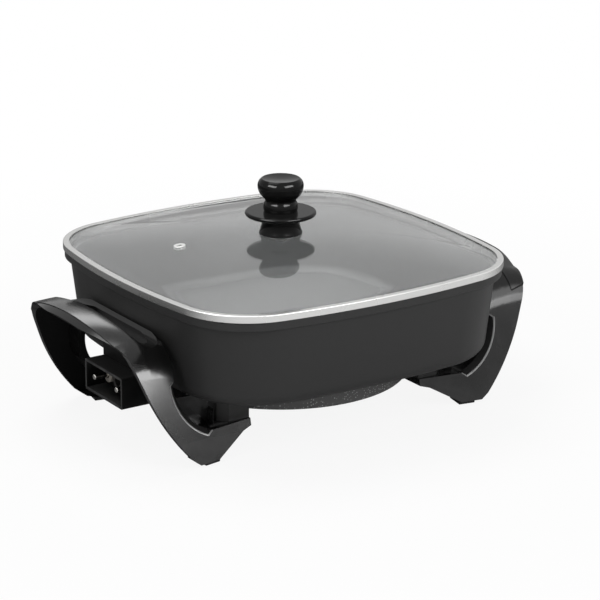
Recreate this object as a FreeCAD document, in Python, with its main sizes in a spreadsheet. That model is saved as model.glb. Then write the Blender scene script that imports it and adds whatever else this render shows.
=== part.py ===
import FreeCAD, Part
import Sketcher
import math
import os
import re

# An electric skillet: a square die-cast pan with a tubular heater under it, two arched
# handles that are also its legs, a two-pin socket with a probe bore, and a domed glass lid
# that lifts straight off. Millimetres, +Z up. The origin is on the table, under the middle
# of the pan. X runs through both handles and the socket faces -X.

os.makedirs("parts", exist_ok=True)
doc = FreeCAD.newDocument("electric_skillet")
sheet = doc.addObject("Spreadsheet::Sheet", "Sizes")
Vector = FreeCAD.Vector
Rotation = FreeCAD.Rotation

SIZES = {
    # the cast pan
    "lip_top": 122.0,
    "lip_tall": 6.5,
    "pan_bottom": 51.0,
    "lip_half": 148.8,
    "lip_corner": 61.0,
    "lip_bow": 613.0,
    "lip_overhang": 2.8,
    "wall_corner": 74.0,
    "wall_bow": 790.0,
    "wall_draft": 6.6,
    "wall": 3.2,
    "pan_floor": 4.0,
    "bottom_round": 11.0,
    "floor_round": 8.0,
    "lip_wall": 3.4,
    "recess_depth": 6.3,
    # the lugs that stand on the handles' foot plates
    "lug_inset": 41.5,
    "lug_side_inset": 67.0,
    "lug_wide": 21.0,
    "lug_tall": 25.5,
    "lug_bevel": 7.0,
    "lug_bite": 6.0,
    "lug_hole_depth": 14.0,
    # the tubular heater and the cast ring that holds it
    "heater_inset": 64.0,
    "heater_tube": 4.0,
    "heater_gap": 0.2,
    "heater_bend": 14.0,
    "heater_ring": 6.0,
    "heater_drop": 6.4,
    "lead_spacing": 17.5,
    "lead_inset": 13.0,
    "notch_margin": 2.5,
    # the thermostat probe's bore
    "probe_bore": 4.4,
    "probe_wall": 3.6,
    "probe_cover": 2.2,
    "probe_depth": 40.0,
    "probe_boss_reach": 5.0,
    # the round sheet steel cover under the heater
    "cover_margin": 21.0,
    "cover_deep": 23.0,
    "cover_sheet": 1.2,
    "cover_round": 3.0,
    "cover_gap": 0.3,
    "cover_clearance": 1.5,
    "cover_slot_sill": 3.5,
    "post_inset": 27.0,
    "post_radius": 5.0,
    "post_hole_depth": 12.0,
    # the socket's shroud
    "flange_inset": 3.0,
    "flange_thick": 3.0,
    "flange_rise": 23.4,
    "socket_deep": 16.4,
    "socket_half": 29.3,
    "socket_drop": 12.6,
    "socket_rise": 12.7,
    "socket_wall": 2.2,
    "socket_back_gap": 3.0,
    "socket_round": 1.6,
    "socket_post_inset": 25.0,
    "socket_post": 3.5,
    # the terminal pins, their insulators and the probe's sleeve
    "pin_radius": 2.4,
    "pin_root": 2.8,
    "pin_root_out": 0.6,
    "pin_shy": 1.0,
    "pin_round": 1.0,
    "insulator_wall": 2.1,
    "insulator_collar_wall": 1.5,
    "insulator_front": 3.0,
    "insulator_back": 4.0,
    "sleeve_wall": 0.8,
    "sleeve_collar_wall": 1.8,
    "sleeve_front": 4.0,
    "sleeve_gap": 0.3,
    "fit_gap": 0.1,
    # the handles: an arched channel, seen from the side as one curved band
    "grip_deep": 50.5,
    "grip_drop": 8.7,
    "grip_edge_fall": 2.6,
    "ridge_inset": 12.5,
    "crest_radius": 130.0,
    "scoop_radius": 14.3,
    "scoop_inset": 10.0,
    "scoop_drop": 13.6,
    "panel_edge": 5.5,
    "panel_wide": 20.5,
    "panel_end": 5.6,
    "panel_proud": 0.7,
    "arch_corner": 34.0,
    "arch_crown": 280.0,
    "leg_overhang": 7.6,
    "leg_lean": 14.6,
    "leg_toe": 0.177,
    "skin": 4.6,
    "rib_depth": 24.0,
    "rib": 3.0,
    "foot_plate_thick": 5.0,
    "foot_web": 4.0,
    "flare_inset": 14.2,
    "flare_top_drop": 3.9,
    "flare_bottom_drop": 19.8,
    "flare_radius": 22.0,
    "calf_inset": 23.6,
    "calf_drop": 43.8,
    "calf_radius": 185.0,
    "heel_out": 33.5,
    "heel_height": 7.0,
    "sole_out": 27.5,
    "sole_long": 18.0,
    "leg_bottom": 2.5,
    "shin_in": 16.9,
    "shin_height": 17.7,
    "shin_lift": 2.3,
    "instep_out": 13.5,
    "instep_drop": 29.8,
    "instep_radius": 44.0,
    "window_in": 3.5,
    "stop_rib_out": 4.5,
    "stop_rib_tall": 11.5,
    "ankle_gap": 1.5,
    # the rubber feet
    "foot_out": 16.5,
    "foot_inset": 10.5,
    "foot_long": 14.0,
    "foot_wide": 17.0,
    "foot_peg": 2.5,
    "foot_round": 1.0,
    # the screws and washers
    "handle_screw_inset": 13.5,
    "handle_screw": 2.4,
    "handle_screw_long": 14.0,
    "handle_screw_head": 4.4,
    "handle_screw_head_tall": 3.2,
    "handle_screw_seat": 3.7,
    "washer_radius": 5.0,
    "washer_thick": 0.8,
    "small_screw": 1.8,
    "small_screw_long": 11.0,
    "small_screw_head": 3.6,
    "small_screw_head_tall": 2.4,
    "socket_screw": 1.4,
    "socket_screw_long": 11.0,
    "screw_hole_spare": 1.0,
    # the glass lid in its steel rim
    "lid_gap": 0.3,
    "rim_overhang": 1.2,
    "rim_flange": 5.0,
    "rim_sheet": 0.7,
    "skirt_gap": 0.6,
    "skirt_lift": 1.7,
    "glass_thick": 4.0,
    "glass_gap": 0.1,
    "glass_side_gap": 0.5,
    "dome_inset": 0.4,
    "dome_rise": 13.6,
    "vent_across": -80.0,
    "vent_along": 22.0,
    "vent_tube": 2.6,
    "vent_hole_gap": 0.5,
    "vent_sheet": 0.6,
    "vent_flange": 4.8,
    # the knob stack on the middle of the glass
    "knob_hole_gap": 1.0,
    "knob_seal": 9.0,
    "knob_seal_thick": 1.0,
    "knob_foot": 17.3,
    "knob_foot_edge": 0.8,
    "knob_foot_top": 15.0,
    "knob_foot_tall": 14.6,
    "knob_foot_curve": 28.0,
    "guard_radius": 28.4,
    "guard_thick": 3.5,
    "stem_radius": 13.2,
    "neck_radius": 12.4,
    "neck_height": 8.1,
    "neck_curve": 4.0,
    "head_root": 13.3,
    "head_root_height": 10.6,
    "head_under_curve": 12.7,
    "head_radius": 18.3,
    "head_height": 20.7,
    "head_curve": 6.95,
    "head_top": 15.0,
    "knob_tall": 26.6,
    "knob_dish": 1.2,
    "knob_dish_curve": 113.6,
    "insert_radius": 5.0,
    "insert_tall": 14.0,
    "lid_screw": 2.4,
    "lid_screw_long": 34.0,
    "lid_screw_head": 5.2,
    "lid_screw_head_tall": 3.0,
    "lid_washer": 9.5,
    "lid_washer_thick": 1.2,
}

# What follows from those sizes: heights above the table, and reaches from the middle of the pan.
FOLLOWS = {
    "lip_bottom": "lip_top - lip_tall",
    "wall_half": "lip_half - lip_overhang",
    "recess_half": "lip_half - lip_wall",
    "lead_height": "pan_bottom - heater_drop",
    "plate_top": "pan_bottom - lug_tall",
    "lug_outer": "wall_half - lug_inset",
    "lug_inner": "sqrt((cover_radius + cover_clearance - lug_bite)^2 - lug_back^2)",
    "lug_front": "wall_half - lug_side_inset",
    "lug_back": "lug_front - lug_wide",
    "screw_reach": "lug_outer - handle_screw_inset",
    "screw_side": "lug_front - lug_wide / 2",
    "heater_pitch": "wall_half - heater_inset",
    "ring_half_wide": "heater_tube + heater_ring",
    "notch_half": "lead_spacing + heater_bend + notch_margin",
    "notch_near": "heater_pitch - 2 * ring_half_wide",
    "notch_far": "heater_pitch + ring_half_wide + cover_sheet",
    "cover_radius": "heater_pitch + cover_margin",
    "cover_bottom": "pan_bottom - cover_deep",
    "cover_slot_half": "socket_half + cover_sheet",
    "post_circle": "heater_pitch - post_inset",
    "post_bottom": "cover_bottom + cover_sheet",
    "probe_boss_far": "cover_radius + probe_boss_reach",
    "flange_back": "wall_half - flange_inset",
    "flange_face": "flange_back + flange_thick",
    "flange_top": "lead_height + flange_rise",
    "socket_face": "flange_face + socket_deep",
    "socket_bottom": "lead_height - socket_drop",
    "socket_top": "lead_height + socket_rise",
    "socket_back": "cover_radius + socket_back_gap",
    "socket_post_reach": "flange_back - socket_post_inset",
    "socket_post_side": "(sleeve_radius + lead_spacing - heater_tube) / 2",
    "lead_end": "flange_back - lead_inset",
    "pin_tip": "socket_face - pin_shy",
    "pin_shoulder": "flange_face + insulator_front + pin_root_out",
    "insulator_radius": "pin_root + insulator_wall",
    "sleeve_radius": "probe_bore + sleeve_wall",
    "grip_inner": "wall_half",
    "grip_reach": "grip_inner + grip_deep",
    "ridge_top": "lip_bottom - grip_drop",
    "ridge_reach": "grip_reach - ridge_inset",
    "panel_outer": "grip_reach - panel_edge",
    "instep_height": "ridge_top - instep_drop",
    "instep_reach": "lug_outer + instep_out",
    "window_reach": "lug_outer - window_in",
    "sole_outer": "lug_outer + sole_out",
    "sole_inner": "sole_outer - sole_long",
    "leg_spread": "lug_front + leg_overhang",
    "panel_half": "leg_spread - panel_end",
    "foot_reach": "lug_outer + foot_out",
    "foot_side": "leg_spread + leg_toe * (foot_reach - lug_inner) - foot_inset",
    "rim_bottom": "lip_top + lid_gap",
    "rim_top": "rim_bottom + 2 * rim_sheet + glass_thick + 3 * glass_gap",
    "rim_half": "lip_half + rim_overhang",
    "skirt_half": "recess_half - skirt_gap",
    "glass_half": "rim_half - rim_sheet - glass_side_gap",
    "glass_under": "rim_bottom + rim_sheet + glass_gap",
    "dome_half": "rim_half - rim_flange - dome_inset",
}

for row, (name, value) in enumerate(SIZES.items(), start=1):
    sheet.set(f"A{row}", name)
    sheet.set(f"B{row}", str(value))
    sheet.setAlias(f"B{row}", name)
doc.recompute()


def cells(text):
    """The expression with what follows written out, and each size's name pointed at its cell."""

    def spell(word):
        if word[0] in FOLLOWS:
            return f"({cells(FOLLOWS[word[0]])})"
        return f"Sizes.{word[0]}" if word[0] in SIZES else word[0]

    return re.sub(r"(?<!Sizes\.)\b[a-z_]+\b", spell, text)


def number(text):
    return float(sheet.evalExpression(cells(text)))


def new_body(name):
    body = doc.addObject("PartDesign::Body", name)
    body.Label = name
    return body


def new_sketch(body, name, role="XY_Plane", offset="0"):
    """A sketch on one of its body's own planes: XY looks down, XZ looks along +Y, YZ along -X."""
    sketch = body.newObject("Sketcher::SketchObject", name)
    plane = next(feature for feature in body.Origin.OriginFeatures if feature.Role == role)
    sketch.AttachmentSupport = [(plane, "")]
    sketch.MapMode = "FlatFace"
    sketch.setExpression("AttachmentOffset.Base.z", cells(offset))
    return sketch


def fix_point(sketch, side, end, x, y):
    for kind, text in (("DistanceX", x), ("DistanceY", y)):
        index = sketch.addConstraint(Sketcher.Constraint(kind, side, end, number(text)))
        sketch.renameConstraint(index, f"{kind}_{side}_{end}")
        sketch.setExpression(f"Constraints.{kind}_{side}_{end}", cells(text))


def fix_radius(sketch, side, text):
    index = sketch.addConstraint(Sketcher.Constraint("Radius", side, number(text)))
    sketch.renameConstraint(index, f"radius_{side}")
    sketch.setExpression(f"Constraints.radius_{side}", cells(text))


def arc_between(start, end, radius, outward):
    """The short arc from start to end, on the outer or inner side of a counter-clockwise outline."""
    chord = end - start
    left = Vector(-chord.y, chord.x, 0).normalize()
    rise = math.sqrt(radius**2 - (chord.Length / 2) ** 2)
    centre = (start + end) / 2 + left * (rise if outward else -rise)
    first, last = (start, end) if outward else (end, start)
    angles = [math.atan2(point.y - centre.y, point.x - centre.x) for point in (first, last)]
    return Part.ArcOfCircle(Part.Circle(centre, Vector(0, 0, 1), radius), angles[0], angles[1])


def add_outline(sketch, corners, arcs=None):
    """A closed counter-clockwise outline. arcs gives the sides that are round: radius and outward."""
    arcs = arcs or {}
    points = [Vector(number(x), number(y), 0) for x, y in corners]
    base = sketch.GeometryCount
    ends = []
    for side, start in enumerate(points):
        end = points[(side + 1) % len(points)]
        if side in arcs:
            radius, outward = arcs[side]
            sketch.addGeometry(arc_between(start, end, number(radius), outward), False)
            ends.append((1, 2) if outward else (2, 1))
        else:
            sketch.addGeometry(Part.LineSegment(start, end), False)
            ends.append((1, 2))
    for side, (x, y) in enumerate(corners):
        following = (side + 1) % len(points)
        meeting = (base + side, ends[side][1], base + following, ends[following][0])
        sketch.addConstraint(Sketcher.Constraint("Coincident", *meeting))
        fix_point(sketch, base + side, ends[side][0], x, y)
        if side in arcs:
            fix_radius(sketch, base + side, arcs[side][0])


def add_box(sketch, left, bottom, right, top):
    add_outline(sketch, [(left, bottom), (right, bottom), (right, top), (left, top)])


def add_circle(sketch, x, y, radius):
    side = sketch.GeometryCount
    centre = Vector(number(x), number(y), 0)
    sketch.addGeometry(Part.Circle(centre, Vector(0, 0, 1), number(radius)), False)
    fix_point(sketch, side, 3, x, y)
    fix_radius(sketch, side, radius)


def add_bowed_square(sketch, half, corner, bow):
    """A square with round corners and slightly bowed sides, all arcs meeting smoothly."""
    deep = f"(({bow}) - ({half}))"
    slack = f"(({bow}) - ({corner}))"
    middle = f"((sqrt(2 * {slack}^2 - {deep}^2) - {deep}) / 2)"
    short = f"({middle} * ({bow}) / {slack})"
    long = f"(({middle} + {deep}) * ({bow}) / {slack} - {deep})"
    corners = [
        (long, f"-{short}"),
        (long, short),
        (short, long),
        (f"-{short}", long),
        (f"-{long}", short),
        (f"-{long}", f"-{short}"),
        (f"-{short}", f"-{long}"),
        (short, f"-{long}"),
    ]
    arcs = {side: (bow if side % 2 == 0 else corner, True) for side in range(8)}
    add_outline(sketch, corners, arcs)


def pad(body, name, sketch, length, taper=None, backward=False):
    feature = body.newObject("PartDesign::Pad", name)
    feature.Profile = sketch
    feature.setExpression("Length", cells(length))
    feature.Reversed = backward
    if taper:
        feature.setExpression("TaperAngle", cells(taper))
    doc.recompute()
    return feature


def checked_cut(feature, before):
    doc.recompute()
    if feature.Shape.Volume > before - 0.1:
        raise RuntimeError(f"{feature.Name} cuts nothing")
    return feature


def pocket(body, name, sketch, depth, forward=False, taper=None):
    """Cuts back from the sketch, or forward along its normal."""
    before = body.Shape.Volume
    feature = body.newObject("PartDesign::Pocket", name)
    feature.Profile = sketch
    feature.setExpression("Length", cells(depth))
    feature.Reversed = forward
    if taper:
        feature.setExpression("TaperAngle", cells(taper))
    return checked_cut(feature, before)


def revolve(body, name, sketch):
    feature = body.newObject("PartDesign::Revolution", name)
    feature.Profile = sketch
    feature.ReferenceAxis = (sketch, ["V_Axis"])
    feature.Angle = 360
    doc.recompute()
    return feature


def fillet(body, name, base, radius, chosen):
    """Rounds those edges of the base feature for which chosen(edge's box) is true."""
    edges = [f"Edge{i}" for i, edge in enumerate(base.Shape.Edges, start=1) if chosen(edge.BoundBox)]
    feature = body.newObject("PartDesign::Fillet", name)
    feature.Base = (base, edges)
    feature.setExpression("Radius", cells(radius))
    doc.recompute()
    return feature


def flat_at(height):
    return lambda box: abs(box.ZMin - height) < 0.01 and abs(box.ZMax - height) < 0.01


def compound(name, members):
    group = doc.addObject("Part::Compound", name)
    group.Label = name
    group.Links = members
    doc.recompute()
    return group


def place(thing, x="0", y="0", z="0", turn=None):
    if turn:
        thing.Placement = FreeCAD.Placement(Vector(0, 0, 0), turn)
    thing.setExpression("Placement.Base.x", cells(x))
    thing.setExpression("Placement.Base.y", cells(y))
    thing.setExpression("Placement.Base.z", cells(z))
    return thing


# The pan: one aluminium casting with a drafted wall, a raised lip with a ledge inside for the
# lid's skirt, four corner lugs, the heater's ring, the probe's boss and the cover's posts.
pan = new_body("pan")
wall_loss = "((lip_bottom - pan_bottom) * tan(wall_draft))"
outer = new_sketch(pan, "pan_outside", offset="pan_bottom")
add_bowed_square(outer, f"wall_half - {wall_loss}", f"wall_corner - {wall_loss}", f"wall_bow - {wall_loss}")
tub = pad(pan, "pan_tub", outer, "lip_bottom - pan_bottom", taper="wall_draft")
tub = fillet(pan, "pan_bottom_round", tub, "bottom_round", flat_at(number("pan_bottom")))
lip = new_sketch(pan, "pan_lip_outline", offset="lip_bottom")
add_bowed_square(lip, "lip_half", "lip_corner", "lip_bow")
pad(pan, "pan_lip", lip, "lip_tall")

lugs = new_sketch(pan, "lug_outlines", offset="plate_top")
for across in ("", "-"):
    for along in ("", "-"):
        near, far = f"{across}lug_inner", f"{across}lug_outer"
        back, front = f"{along}lug_back", f"{along}lug_front"
        bevel_x, bevel_y = f"{across}(lug_outer - lug_bevel)", f"{along}(lug_front - lug_bevel)"
        outline = [(near, back), (far, back), (far, bevel_y), (bevel_x, front), (near, front)]
        add_outline(lugs, outline if across == along else outline[::-1])
pad(pan, "lugs", lugs, "pan_bottom + pan_floor / 2 - plate_top")
ring_room = new_sketch(pan, "cover_room_outline", offset="plate_top")
add_circle(ring_room, "0", "0", "cover_radius + cover_clearance")
pocket(pan, "cover_room", ring_room, "pan_bottom - plate_top", forward=True)

ring = new_sketch(pan, "heater_ring_outline", offset="lead_height")
add_circle(ring, "0", "0", "heater_pitch + ring_half_wide")
add_circle(ring, "0", "0", "heater_pitch - ring_half_wide")
pad(pan, "heater_ring", ring, "pan_bottom + pan_floor / 2 - lead_height")
groove_round = new_sketch(pan, "heater_groove_round", role="XZ_Plane")
add_circle(groove_round, "heater_pitch", "lead_height", "heater_tube + heater_gap")
before_groove = pan.Shape.Volume
groove = pan.newObject("PartDesign::Groove", "heater_groove")
groove.Profile = groove_round
groove.ReferenceAxis = (groove_round, ["V_Axis"])
groove.Angle = 360
checked_cut(groove, before_groove)
notch = new_sketch(pan, "lead_notch_outline", offset="lead_height")
add_box(notch, "-notch_far", "-notch_half", "-notch_near", "notch_half")
pocket(pan, "lead_notch", notch, "pan_bottom - lead_height", forward=True)

probe_under = "(lead_height - probe_bore - probe_cover)"
probe_boss = new_sketch(pan, "probe_boss_outline", offset=probe_under)
probe_side = "(probe_bore + probe_wall)"
add_box(probe_boss, "-probe_boss_far", f"-{probe_side}", "-notch_near", probe_side)
pad(pan, "probe_boss", probe_boss, f"pan_bottom + pan_floor / 2 - {probe_under}")
posts = new_sketch(pan, "cover_post_outlines", offset="post_bottom")
POST_ANGLES = (0, 120, 240)
POST_PLACES = [(f"post_circle * cos({angle})", f"post_circle * sin({angle})") for angle in POST_ANGLES]
for x, y in POST_PLACES:
    add_circle(posts, x, y, "post_radius")
pad(pan, "cover_posts", posts, "pan_bottom + pan_floor / 2 - post_bottom")
socket_posts = new_sketch(pan, "socket_post_outlines", offset="socket_bottom + socket_wall")
for along in ("", "-"):
    add_circle(socket_posts, "-socket_post_reach", f"{along}socket_post_side", "socket_post")
pad(pan, "socket_posts", socket_posts, "pan_bottom + pan_floor / 2 - socket_bottom - socket_wall")

cavity = new_sketch(pan, "cavity_outline", offset="pan_bottom + pan_floor")
loss = "((lip_bottom - pan_bottom - pan_floor) * tan(wall_draft) + wall)"
add_bowed_square(cavity, f"wall_half - {loss}", f"wall_corner - {loss}", f"wall_bow - {loss}")
cavity_deep = "lip_top - pan_bottom - pan_floor"
cavity_cut = pocket(pan, "cavity", cavity, cavity_deep, forward=True, taper="wall_draft")
floor_edge = flat_at(number("pan_bottom + pan_floor"))
cavity_cut = fillet(pan, "floor_round", cavity_cut, "floor_round", floor_edge)
recess = new_sketch(pan, "recess_outline", offset="lip_top")
add_bowed_square(recess, "recess_half", "lip_corner - lip_wall", "lip_bow - lip_wall")
pocket(pan, "lid_recess", recess, "recess_depth")

lug_holes = new_sketch(pan, "lug_hole_outlines", offset="plate_top")
for across in ("", "-"):
    for along in ("", "-"):
        add_circle(lug_holes, f"{across}screw_reach", f"{along}screw_side", "handle_screw + fit_gap")
pocket(pan, "lug_holes", lug_holes, "lug_hole_depth", forward=True)
post_holes = new_sketch(pan, "post_hole_outlines", offset="post_bottom")
for x, y in POST_PLACES:
    add_circle(post_holes, x, y, "small_screw + fit_gap")
pocket(pan, "post_holes", post_holes, "post_hole_depth", forward=True)
socket_holes = new_sketch(pan, "socket_hole_outlines", offset="socket_bottom + socket_wall")
for along in ("", "-"):
    add_circle(socket_holes, "-socket_post_reach", f"{along}socket_post_side", "socket_screw + fit_gap")
socket_hole_depth = "socket_screw_long - socket_wall + screw_hole_spare"
pocket(pan, "socket_holes", socket_holes, socket_hole_depth, forward=True)
probe_hole = new_sketch(pan, "probe_hole_outline", role="YZ_Plane", offset="-probe_boss_far")
add_circle(probe_hole, "0", "lead_height", "probe_bore")
pocket(pan, "probe_hole", probe_hole, "probe_depth", forward=True)

# The heater: one steel-sheathed tube bent into an open ring, its two leads side by side.
heater = new_body("heating_element")
path = new_sketch(heater, "heater_path", offset="lead_height")
bend_y = number("lead_spacing + heater_bend")
bend_x = -math.sqrt(number("heater_pitch + heater_bend") ** 2 - bend_y**2)
pitch, bend = number("heater_pitch"), number("heater_bend")
meet = Vector(bend_x, bend_y, 0) * (pitch / (pitch + bend))
lead, tail = number("lead_spacing"), -number("lead_end")
up = Vector(0, 0, 1)
far_angle = math.atan2(meet.y, meet.x)
near_angle = math.atan2(meet.y - bend_y, meet.x - bend_x)
path.addGeometry(
    [
        Part.LineSegment(Vector(tail, lead, 0), Vector(bend_x, lead, 0)),
        Part.ArcOfCircle(Part.Circle(Vector(bend_x, bend_y, 0), up, bend), -math.pi / 2, near_angle),
        Part.ArcOfCircle(Part.Circle(Vector(0, 0, 0), up, pitch), -far_angle, far_angle),
        Part.ArcOfCircle(Part.Circle(Vector(bend_x, -bend_y, 0), up, bend), -near_angle, math.pi / 2),
        Part.LineSegment(Vector(bend_x, -lead, 0), Vector(tail, -lead, 0)),
    ],
    False,
)
for first, second in (((0, 2), (1, 1)), ((1, 2), (2, 2)), ((2, 1), (3, 1)), ((3, 2), (4, 1))):
    path.addConstraint(Sketcher.Constraint("Tangent", *first, *second))
path.addConstraint(Sketcher.Constraint("Horizontal", 0))
path.addConstraint(Sketcher.Constraint("Horizontal", 4))
path.addConstraint(Sketcher.Constraint("Equal", 1, 3))
path.addConstraint(Sketcher.Constraint("Coincident", 2, 3, -1, 1))
fix_point(path, 0, 1, "-lead_end", "lead_spacing")
fix_point(path, 4, 2, "-lead_end", "-lead_spacing")
fix_radius(path, 1, "heater_bend")
fix_radius(path, 2, "heater_pitch")
tube = new_sketch(heater, "heater_section", role="YZ_Plane", offset="-lead_end")
add_circle(tube, "lead_spacing", "lead_height", "heater_tube")
pipe = heater.newObject("PartDesign::AdditivePipe", "heater_tube")
pipe.Profile = tube
pipe.Spine = path
doc.recompute()


def turned_pin(name, spans):
    """A round piece along X, made of spans: from, to, radius and bore, measured from the middle."""
    body = new_body(name)
    for index, (start, end, radius, bore) in enumerate(spans):
        disc = new_sketch(body, f"{name}_round_{index}", role="YZ_Plane", offset=f"-({start})")
        add_circle(disc, "0", "0", radius)
        if bore:
            add_circle(disc, "0", "0", bore)
        pad(body, f"{name}_span_{index}", disc, f"({start}) - ({end})")
    return body


# Two nickel-plated pins on the ends of the heater's leads, each in a ceramic insulator.
collar = "insulator_radius + insulator_collar_wall"
pins = []
insulators = []
for side, along in (("rear", ""), ("front", "-")):
    pin = turned_pin(
        f"pin_{side}",
        [
            ("pin_tip", "pin_shoulder", "pin_radius", None),
            ("pin_shoulder", "lead_end", "pin_root", None),
        ],
    )
    tip = number("-pin_tip + fit_gap")
    fillet(pin, f"pin_{side}_tip", pin.Tip, "pin_round", lambda edge: edge.XMax < tip)
    insulator = turned_pin(
        f"insulator_{side}",
        [
            ("flange_face + insulator_front", "flange_face", collar, "pin_root + fit_gap"),
            ("flange_face", "flange_back - insulator_back", "insulator_radius", "pin_root + fit_gap"),
        ],
    )
    for piece in (pin, insulator):
        place(piece, y=f"{along}lead_spacing", z="lead_height")
    pins.append(pin)
    insulators.append(insulator)
terminal_pins = compound("terminal_pins", pins)
pin_insulators = compound("pin_insulators", insulators)

# The probe sleeve guides the thermostat probe from the socket into the bore in the casting.
probe_sleeve = turned_pin(
    "probe_sleeve",
    [
        ("flange_face + sleeve_front", "flange_face", "sleeve_radius + sleeve_collar_wall", "probe_bore"),
        ("flange_face", "probe_boss_far + sleeve_gap", "sleeve_radius", "probe_bore"),
    ],
)
place(probe_sleeve, z="lead_height")

# The socket shroud: a phenolic box open to -X, with a tall back flange and a channel that
# carries the leads back under the pan.
shroud = new_body("socket_shroud")
face = new_sketch(shroud, "shroud_face", role="YZ_Plane", offset="-socket_face")
add_box(face, "-socket_half", "socket_bottom", "socket_half", "socket_top")
pad(shroud, "shroud_box", face, "socket_face - flange_back")
flange = new_sketch(shroud, "shroud_flange_outline", role="YZ_Plane", offset="-flange_face")
add_box(flange, "-socket_half", "socket_bottom", "socket_half", "flange_top")
pad(shroud, "shroud_flange", flange, "flange_face - flange_back")
channel = new_sketch(shroud, "shroud_channel_outline", role="YZ_Plane", offset="-flange_back")
add_box(channel, "-socket_half", "socket_bottom", "socket_half", "pan_bottom - cover_gap")
box = pad(shroud, "shroud_channel", channel, "flange_back - socket_back")
long_edges = number("socket_face - flange_face") - 1
box = fillet(
    shroud,
    "shroud_round",
    box,
    "socket_round",
    lambda edge: edge.XLength > long_edges and edge.YLength < 0.01 and edge.ZLength < 0.01,
)
mouth = new_sketch(shroud, "shroud_mouth_outline", role="YZ_Plane", offset="-socket_face")
inner_side, inner_bottom = "socket_half - socket_wall", "socket_bottom + socket_wall"
add_box(mouth, f"-({inner_side})", inner_bottom, inner_side, "socket_top - socket_wall")
pocket(shroud, "shroud_mouth", mouth, "socket_face - flange_face", forward=True)
lead_room = new_sketch(shroud, "shroud_lead_outline", role="YZ_Plane", offset="-flange_back")
add_box(lead_room, f"-({inner_side})", inner_bottom, inner_side, "pan_bottom + cover_gap")
pocket(shroud, "shroud_lead_room", lead_room, "flange_back - socket_back", forward=True)
wall_holes = new_sketch(shroud, "shroud_wall_holes", role="YZ_Plane", offset="-flange_face")
add_circle(wall_holes, "lead_spacing", "lead_height", "insulator_radius + fit_gap")
add_circle(wall_holes, "-lead_spacing", "lead_height", "insulator_radius + fit_gap")
add_circle(wall_holes, "0", "lead_height", "sleeve_radius + fit_gap")
pocket(shroud, "shroud_wall_bores", wall_holes, "flange_face - flange_back", forward=True)
screw_holes = new_sketch(shroud, "shroud_screw_holes", offset="socket_bottom")
for along in ("", "-"):
    add_circle(screw_holes, "-socket_post_reach", f"{along}socket_post_side", "socket_screw + fit_gap")
pocket(shroud, "shroud_screw_bores", screw_holes, "socket_wall", forward=True)

# The round cover under the heater: a shallow pressed steel tray with a slot for the leads.
cover = new_body("base_cover")
disc = new_sketch(cover, "cover_outline", offset="cover_bottom")
add_circle(disc, "0", "0", "cover_radius")
tray = pad(cover, "cover_disc", disc, "pan_bottom - cover_gap - cover_bottom")
tray = fillet(cover, "cover_bottom_round", tray, "cover_round", flat_at(number("cover_bottom")))
hollow = new_sketch(cover, "cover_hollow_outline", offset="pan_bottom - cover_gap")
add_circle(hollow, "0", "0", "cover_radius - cover_sheet")
tray = pocket(cover, "cover_hollow", hollow, "pan_bottom - cover_gap - cover_bottom - cover_sheet")
slot = new_sketch(cover, "cover_slot_outline", role="YZ_Plane", offset="-(cover_radius + cover_sheet)")
sill = "cover_bottom + cover_slot_sill"
add_box(slot, "-cover_slot_half", sill, "cover_slot_half", "pan_bottom")
pocket(cover, "cover_slot", slot, "cover_radius / 5", forward=True)
cover_holes = new_sketch(cover, "cover_hole_outlines", offset="cover_bottom")
for x, y in POST_PLACES:
    add_circle(cover_holes, x, y, "small_screw + fit_gap")
pocket(cover, "cover_holes", cover_holes, "cover_sheet", forward=True)


def screw(name, shank, long, head, tall, below="0"):
    """A screw that points up, its head's upper face at below. One turned profile."""
    body = new_body(name)
    half = new_sketch(body, f"{name}_profile", role="XZ_Plane")
    crown = f"({below}) - ({tall})"
    outline = [
        ("0", crown),
        (f"({head}) * 0.7", crown),
        (head, f"({below}) - ({tall}) * 0.6"),
        (head, below),
        (shank, below),
        (shank, f"({below}) + ({long})"),
        ("0", f"({below}) + ({long})"),
    ]
    add_outline(half, outline)
    revolve(body, f"{name}_turn", half)
    return body


# Three screws hold the cover to its posts, and two hold the shroud from beneath.
SMALL_HEAD = ("small_screw_head", "small_screw_head_tall")
cover_screws = []
for index, (x, y) in enumerate(POST_PLACES, start=1):
    part = screw(f"cover_screw_{index}", "small_screw", "small_screw_long", *SMALL_HEAD)
    cover_screws.append(place(part, x=x, y=y, z="cover_bottom"))
cover_screw_group = compound("cover_screws", cover_screws)
shroud_screws = []
for index, along in enumerate(("", "-"), start=1):
    part = screw(f"shroud_screw_{index}", "socket_screw", "socket_screw_long", *SMALL_HEAD)
    part = place(part, x="-socket_post_reach", y=f"{along}socket_post_side", z="socket_bottom")
    shroud_screws.append(part)
shroud_screw_group = compound("shroud_screws", shroud_screws)


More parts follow.
